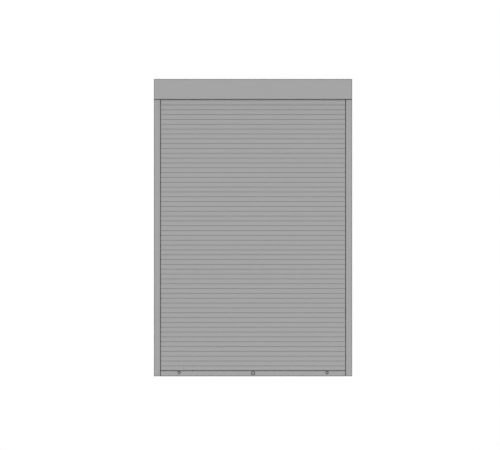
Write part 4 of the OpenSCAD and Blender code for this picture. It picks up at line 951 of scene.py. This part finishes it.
@dataclass
class Curtain:
    """The curtain of hooked hollow slats, one piece for each body that carries some.

    Attributes:
        pitch: Distance from slat to slat.
        thick: Thickness of a slat over its curves.
        wall: Thickness of the strip.
        gap: Gap between neighbouring faces.
        front_sag: How far the outer face is hollow.
        rear_sag: How far the inner face bulges.
        edge_r: Radius of the slat's edges.
        hook_y: Place of the hook from the middle of the slat.
        neck_t: Thickness of the hook's neck.
        neck_h: Height of the neck.
        head_w: Width of the hook's head.
        head_h: Height of the head.
        play: Play of the hook in its pocket.
        lip: Height of the pocket's lips.
        pocket_h: Height of the pocket.
        hollow_r: Radius of the corners in the hollow.
        face_steps: Chords along each face.
        edge_steps: Chords round each edge.
        shade_h: How far the painted shade reaches from a joint.
        shade_most: Share of painted shade right at a joint.
        rail_shade_h: How far the painted shade reaches from the joint over the rail.
        rail_shade_most: Share of painted shade right at that joint.
        stack_room: Room between the closed-up slats and the top of the box when the curtain is in; not used.
    """

    pitch: float = 39 * MM
    thick: float = 8.5 * MM
    wall: float = 0.7 * MM
    gap: float = 0.4 * MM
    front_sag: float = 0.8 * MM
    rear_sag: float = 2.4 * MM
    edge_r: float = 1.2 * MM
    hook_y: float = -0.7 * MM
    neck_t: float = 1.2 * MM
    neck_h: float = 3.4 * MM
    head_w: float = 3.4 * MM
    head_h: float = 1.6 * MM
    play: float = 0.6 * MM
    lip: float = 1.4 * MM
    pocket_h: float = 4.8 * MM
    hollow_r: float = 0.5 * MM
    face_steps: int = 14
    edge_steps: int = 5
    # Painted shade in the joints between slats, and nearly black in the joint over the rail
    shade_h: float = 3.5 * MM
    shade_most: float = 0.74
    rail_shade_h: float = 7 * MM
    rail_shade_most: float = 0.95
    stack_room: float = 4 * MM

    def build(self) -> None:
        """Builds the slats of each body, and the shoes that the straps hold."""
        course = SlatCourse()
        runs = sorted(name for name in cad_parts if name.startswith("slat_run_"))
        for node, body in [("lower_slats", "bottom_rail"), *zip(runs, runs)]:
            low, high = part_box(node)
            base = low.z - self.gap / 2
            count = round((high.z - base) / self.pitch)
            middle = low.y + self.thick / 2
            piece = link(f"{node}_profiled", self.slat(low.x, high.x, middle, base))
            course.bake(piece, SLAT_COAT, count=count, pitch=self.pitch)
            self.shade_joints(piece.data, base)
            settle(piece, body, SLAT_COAT, node)
            if node in runs:
                self.close_up(piece)
        shoes = link("hanger_shoes_moulded", cut_of("hanger_shoes"))
        settle(shoes, runs[-1], BLACK_NYLON, "hanger_shoes")
        self.close_up(shoes)

    def close_up(self, piece: bpy.types.Object) -> None:
        """Gives a run, or what hangs on it, its own copy of its mesh.

        Args:
            piece: The run's slats, or what hangs on them.
        """
        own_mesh(piece)

    def slat(self, x0: float, x1: float, y: float, z: float) -> bpy.types.Mesh:
        """Draws one slat.

        Args:
            x0: Its left end.
            x1: Its right end.
            y: The middle of its thickness.
            z: The joint under it.

        Returns:
            The slat's mesh.
        """
        loops = [self.skin(), self.hollow()]
        return to_mesh("slat", extruded([[(y + py, z + pz) for py, pz in loop] for loop in loops], x0, x1))

    def shade_joints(self, mesh: bpy.types.Mesh, base: float) -> None:
        """Marks painted shade along the joints of some slats, heaviest in the wide joint over the rail.

        Args:
            mesh: The slats.
            base: The joint under the lowest of them.
        """
        rail_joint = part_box("lower_slats")[0].z
        # Painted shade: the slats darken towards each joint, most over the rail
        painted_shade = mesh.attributes.new("joint_dirt", "FLOAT", "POINT")
        for spot, vert in zip(painted_shade.data, mesh.vertices):
            above = (vert.co.z - base) % self.pitch
            near = max(0.0, 1 - min(above, self.pitch - above) / self.shade_h)
            low = max(0.0, 1 - (vert.co.z - rail_joint) / self.rail_shade_h)
            spot.value = max(self.shade_most * near ** 2, self.rail_shade_most * low)

    def faces(self, inset: float, bottom: float, top: float, corner: float) -> tuple[Loop, Loop]:
        """Draws a slat's two curved faces, with half of each edge.

        Args:
            inset: Depth under the surface.
            bottom: Lowest height.
            top: Highest height.
            corner: Radius of the edges.

        Returns:
            The inner face upwards, and the outer face downwards.
        """
        half = (self.pitch - self.gap) / 2
        mid = self.pitch / 2
        front_r = (half ** 2 + self.front_sag ** 2) / (2 * self.front_sag) + inset
        rear_r = (half ** 2 + self.rear_sag ** 2) / (2 * self.rear_sag) - inset
        front_c = -self.thick / 2 + self.front_sag + inset - front_r
        rear_c = self.thick / 2 - inset - rear_r
        f0, f1, r0, r1 = (math.degrees(math.asin((h - mid) / r)) for r in (front_r, rear_r)
                          for h in (bottom + corner, top - corner))
        rear = arc((rear_c, mid), rear_r, r0, r1, self.face_steps)
        front = arc((front_c, mid), front_r, f1, f0, self.face_steps)
        low, high, round_by = bottom + corner, top - corner, self.edge_steps
        inner = (arc((rear[0][0] - corner, low), corner, 270, 360, round_by) + rear[1:-1]
                 + arc((rear[-1][0] - corner, high), corner, 0, 90, round_by))
        outer = (arc((front[0][0] + corner, high), corner, 90, 180, round_by) + front[1:-1]
                 + arc((front[-1][0] + corner, low), corner, 180, 270, round_by))
        return inner, outer

    def skin(self) -> Loop:
        """Draws the slat's outline with its hook above and its pocket below.

        Returns:
            The outline.
        """
        bottom, top = self.gap / 2, self.pitch - self.gap / 2
        inner, outer = self.faces(0, bottom, top, self.edge_r)
        neck, head = self.neck_t / 2, self.head_w / 2
        hook = [(neck, 0), (neck, self.neck_h), (head, self.neck_h), (head, self.neck_h + self.head_h),
                (-head, self.neck_h + self.head_h), (-head, self.neck_h), (-neck, self.neck_h), (-neck, 0)]
        mouth, room = neck + self.play, head + self.play
        pocket = [(-mouth, 0), (-mouth, self.lip), (-room, self.lip), (-room, self.lip + self.pocket_h),
                  (room, self.lip + self.pocket_h), (room, self.lip), (mouth, self.lip), (mouth, 0)]
        return (inner + [(self.hook_y + y, top + z) for y, z in hook]
                + outer + [(self.hook_y + y, bottom + z) for y, z in pocket])

    def hollow(self) -> Loop:
        """Draws the slat's hollow, over the pocket.

        Returns:
            The hollow's outline.
        """
        floor = self.gap / 2 + self.lip + self.pocket_h + self.wall
        inner, outer = self.faces(self.wall, floor, self.pitch - self.gap / 2 - self.wall, self.hollow_r)
        return inner + outer


@dataclass
class BottomRail:
    """The rail that ends the curtain, with its sill seal, end plugs and stop buttons.

    Attributes:
        joint_h: Height of the joint painted dark as shade, from the rail's top edge to the top of its hook.
        stop_head_h: Height of the stop screws' heads.
    """

    joint_h: float = 8 * MM
    stop_head_h: float = 3 * MM

    def build(self) -> None:
        """Dresses the rail and builds the stops' screws."""
        joint_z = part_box("bottom_rail")[1].z - self.joint_h
        # The rail's top, in the joint under the lowest slat, is painted fully dark as shade
        powder_coat("rail_aluminium", "bottom_rail", shaded_above_z=joint_z)
        coat(RUBBER, "rail_seal", "stop_pads")
        coat(GREY_NYLON, "rail_end_plugs", "stop_buttons")
        Screws("stop_screws", "bottom_rail", HeadForm.PAN, self.stop_head_h).build()


@dataclass
class Lock:
    """The key lock in the rail: rosette, barrel and plug, and the pinion that throws two bolts.

    Attributes:
        screw_head_h: Height of the screws' heads on the backplate.
    """

    screw_head_h: float = 1.6 * MM

    def build(self) -> None:
        """Dresses the lock and builds its screws."""
        coat(BLACK_NYLON, "lock_rosette")
        coat(NICKEL, "lock_barrel", "key_plug", "lock_backplate")
        coat(BRASS, "lock_pinion")
        coat(BOLT_STEEL, "left_bolt", "right_bolt")
        Screws("lock_screws", "bottom_rail", HeadForm.PAN, self.screw_head_h).build()


@dataclass
class WindingShaft:
    """The octagonal tube that winds the curtain, on a bearing and a spring axle, with its hangers.

    Attributes:
        wire_r: Radius of the spring wire.
        turns: Turns of the spring.
        points_a_turn: Points on each turn of the wire's path.
        wire_sides: Sides of the wire.
        coil_start: Where on its first turn the coil starts, in turns from the wall's side.
        leg: Straight length of wire at each end of the turns.
        grip: How far each end of the wire goes into its holder.
        bracket_head_h: Height of the bracket screws' heads.
        tube_head_h: Height of the tube screws' heads.
        leg_y: Where the straps' legs leave the tube, towards the curtain.
        leg_keep: Share of a leg's reach that is left when the curtain is in; not used.
    """

    wire_r: float = 2 * MM
    turns: int = 30
    points_a_turn: int = 16
    wire_sides: int = 10
    coil_start: float = 0.25
    leg: float = 6 * MM
    grip: float = 4 * MM
    bracket_head_h: float = 3 * MM
    tube_head_h: float = 1.8 * MM
    leg_y: float = 12 * MM
    leg_keep: float = 0.6

    def build(self) -> None:
        """Dresses the shaft and builds its screws, spring and straps."""
        coat(GALVANISED, "winding_tube", "axle_bracket")
        coat(DRAWN_STEEL, "spring_axle", "idler_pin", "axle_collars")
        coat(BEARING_STEEL, "bearing_outer_ring", "bearing_inner_ring", "bearing_balls")
        coat(BLACK_NYLON, "idler_plug", "axle_bush", "spring_carrier", "spring_anchor", "hanger_clips")
        Screws("bracket_screws", "housing", HeadForm.PAN, self.bracket_head_h).build()
        Screws("tube_screws", "roller", HeadForm.PAN, self.tube_head_h).build()
        self.spring()
        self.straps()

    def straps(self) -> None:
        """Builds the straps, cut across Y into wraps and legs, the legs with their own mesh."""
        wraps = link("hanger_strap_wraps", cut_of("hanger_straps", self.leg_y, -1))
        legs = link("hanger_strap_legs", cut_of("hanger_straps", self.leg_y, 1))
        for piece in (wraps, legs):
            settle(piece, "housing", SPRING_STEEL, "hanger_straps")
        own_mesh(legs)

    def spring(self) -> None:
        """Winds the counterbalance spring round the axle, a straight leg at each end."""
        low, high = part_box("torsion_spring")
        axle = (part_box("spring_axle")[0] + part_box("spring_axle")[1]) / 2
        radius = high.z - axle.z - self.wire_r
        start, end = low.x + self.grip + self.leg, high.x - self.grip - self.leg
        steps = self.turns * self.points_a_turn
        coil = [(start + (end - start) * i / steps, math.tau * (i / self.points_a_turn + self.coil_start))
                for i in range(steps + 1)]
        path = [(low.x, axle.y, axle.z + radius)]
        path += [(x, axle.y + radius * math.cos(a), axle.z + radius * math.sin(a)) for x, a in coil]
        path += [(high.x, axle.y, axle.z + radius)]
        line = bpy.data.meshes.new("spring_path")
        line.from_pydata(path, [(i, i + 1) for i in range(len(path) - 1)], [])
        piece = link("torsion_spring_wire", line)
        WireSweep().bake(piece, SPRING_STEEL, radius=self.wire_r, sides=self.wire_sides)
        piece.data.shade_smooth()
        settle(piece, "housing", SPRING_STEEL, "torsion_spring")


@dataclass(frozen=True)
class LampPair:
    """Two far lamps, one to each side of the object.

    Attributes:
        name: The lamps' name.
        bearing: Degrees round from the front.
        height: Degrees above the horizon.
        strength: The irradiance of each.
        spread: How wide each looks, in degrees.
        mirrored: Whether shiny pieces show them.
    """

    name: str
    bearing: float
    height: float
    strength: float
    spread: float
    mirrored: bool = True

    def hang(self) -> None:
        """Puts the lamps into the scene, aimed at the object."""
        rise = math.radians(self.height)
        for side, bearing in (("left", -self.bearing), ("right", self.bearing)):
            turn = math.radians(bearing)
            data = bpy.data.lights.new(f"{side}_{self.name}", "SUN")
            data.energy = self.strength
            data.angle = math.radians(self.spread)
            lamp = link(data.name, data)
            way = Vector((math.sin(turn) * math.cos(rise), -math.cos(turn) * math.cos(rise), math.sin(rise)))
            lamp.rotation_euler = way.to_track_quat("Z", "Y").to_euler()
            lamp.visible_glossy = self.mirrored


@dataclass
class Studio:
    """A white surround, a pale floor, level light from the front and the camera of a front elevation.

    Attributes:
        image_px: The image's size.
        left_px: The object's left edge in the image.
        right_px: Its right edge.
        top_px: Its top edge.
        bottom_px: Its bottom edge.
        ambient: Light from all round, where 1 shows a colour as it is written.
        floor_tint: Colour of the floor.
        floor_lift: How far the floor is lifted towards white for the eye alone.
        floor_size: Side of the floor.
        stand_off: Distance of the camera.
        lamps: A low pair in front that draws a line of shade under the box, and one for the sides and back.
    """

    image_px: Point = (500, 450)
    left_px: float = 153.85
    right_px: float = 352.24
    top_px: float = 79.06
    bottom_px: float = 376.16
    ambient: float = 0.15
    floor_tint: str = "#D6D6D6"
    floor_lift: float = 0.2
    floor_size: float = 40.0
    stand_off: float = 8.0
    lamps: tuple[LampPair, ...] = (
        LampPair("front_light", bearing=8, height=1.3, strength=1.28, spread=2, mirrored=False),
        LampPair("side_light", bearing=125, height=35, strength=2.2, spread=20))

    def build(self) -> None:
        """Sets up the view, the surround, the floor, the lamps and the camera."""
        bpy.context.scene.view_settings.view_transform = "Standard"
        self.surround()
        self.floor()
        for lamp in self.lamps:
            lamp.hang()
        self.camera()

    def is_ray(self, tree: Tree, *kinds: str) -> Socket:
        """Tells some kinds of ray from the rest.

        Args:
            tree: The tree that asks.
            kinds: The kinds of ray.

        Returns:
            1 for a ray of these kinds, and 0 for any other.
        """
        rays = add(tree, "ShaderNodeLightPath").outputs
        found = rays[f"Is {kinds[0]} Ray"]
        for kind in kinds[1:]:
            found = add(tree, "ShaderNodeMath", {"operation": "MAXIMUM"}, {
                0: found, 1: rays[f"Is {kind} Ray"]}).outputs[0]
        return found

    def surround(self) -> None:
        """Makes the world white to the eye and in reflections, and dimmer as a light."""
        world = bpy.data.worlds.new("white_surround")
        tree = bare_tree(world)
        seen = self.is_ray(tree, "Camera", "Glossy", "Transmission")
        light = add(tree, "ShaderNodeBackground", inputs={"Color": (1, 1, 1, 1), "Strength": self.ambient})
        white = add(tree, "ShaderNodeBackground", inputs={"Color": (1, 1, 1, 1), "Strength": 1.0})
        both = add(tree, "ShaderNodeMixShader", inputs={0: seen, 1: light.outputs[0], 2: white.outputs[0]})
        add(tree, "ShaderNodeOutputWorld", inputs={"Surface": both.outputs[0]})
        bpy.context.scene.world = world

    def floor(self) -> None:
        """Lays a pale matt floor at the sill, which takes the object's shadow."""
        half = self.floor_size / 2
        corners = ((-half, -half), (half, -half), (half, half), (-half, half))
        bm = bmesh.new()
        bm.faces.new([bm.verts.new((x, y, CAD_BOX[0].z)) for x, y in corners])
        floor = link("floor", to_mesh("floor", bm))
        paint = bpy.data.materials.new("pale_matt_floor")
        tree = bare_tree(paint)
        matt = add(tree, "ShaderNodeBsdfDiffuse", inputs={"Color": to_linear(self.floor_tint)})
        lift, light, white = (add(tree, "ShaderNodeEmission", inputs={"Strength": strength}).outputs[0]
                              for strength in (self.floor_lift, self.ambient, 1.0))
        lit = add(tree, "ShaderNodeAddShader", inputs={0: matt.outputs[0], 1: lift})
        unseen = add(tree, "ShaderNodeMixShader", inputs={
            0: self.is_ray(tree, "Glossy", "Transmission"), 1: light, 2: white})
        both = add(tree, "ShaderNodeMixShader", inputs={
            0: self.is_ray(tree, "Camera"), 1: unseen.outputs[0], 2: lit.outputs[0]})
        add(tree, "ShaderNodeOutputMaterial", inputs={"Surface": both.outputs[0]})
        floor.data.materials.append(paint)

    def camera(self) -> None:
        """Sets a camera square to the front, at the scale of the elevation."""
        low, high = CAD_BOX
        size = high - low
        scale = (size.x / (self.right_px - self.left_px) + size.z / (self.bottom_px - self.top_px)) / 2
        middle = (low + high) / 2
        aside = (self.left_px + self.right_px - self.image_px[0]) / 2
        below = (self.top_px + self.bottom_px - self.image_px[1]) / 2
        data = bpy.data.cameras.new("front_elevation")
        data.type = "ORTHO"
        data.ortho_scale = scale * self.image_px[0]
        camera = link("front_elevation", data)
        camera.location = (middle.x - aside * scale, low.y - self.stand_off, middle.z + below * scale)
        camera.rotation_euler = (math.pi / 2, 0, 0)
        bpy.context.scene.camera = camera


def main() -> None:
    """Builds the sub-assemblies in order, then the studio."""
    logging.basicConfig(level=logging.INFO, format="%(message)s")
    for assembly in (Box(), Guides(), Curtain(), BottomRail(), Lock(), WindingShaft(), Studio()):
        assembly.build()


if __name__ == "__main__":
    main()
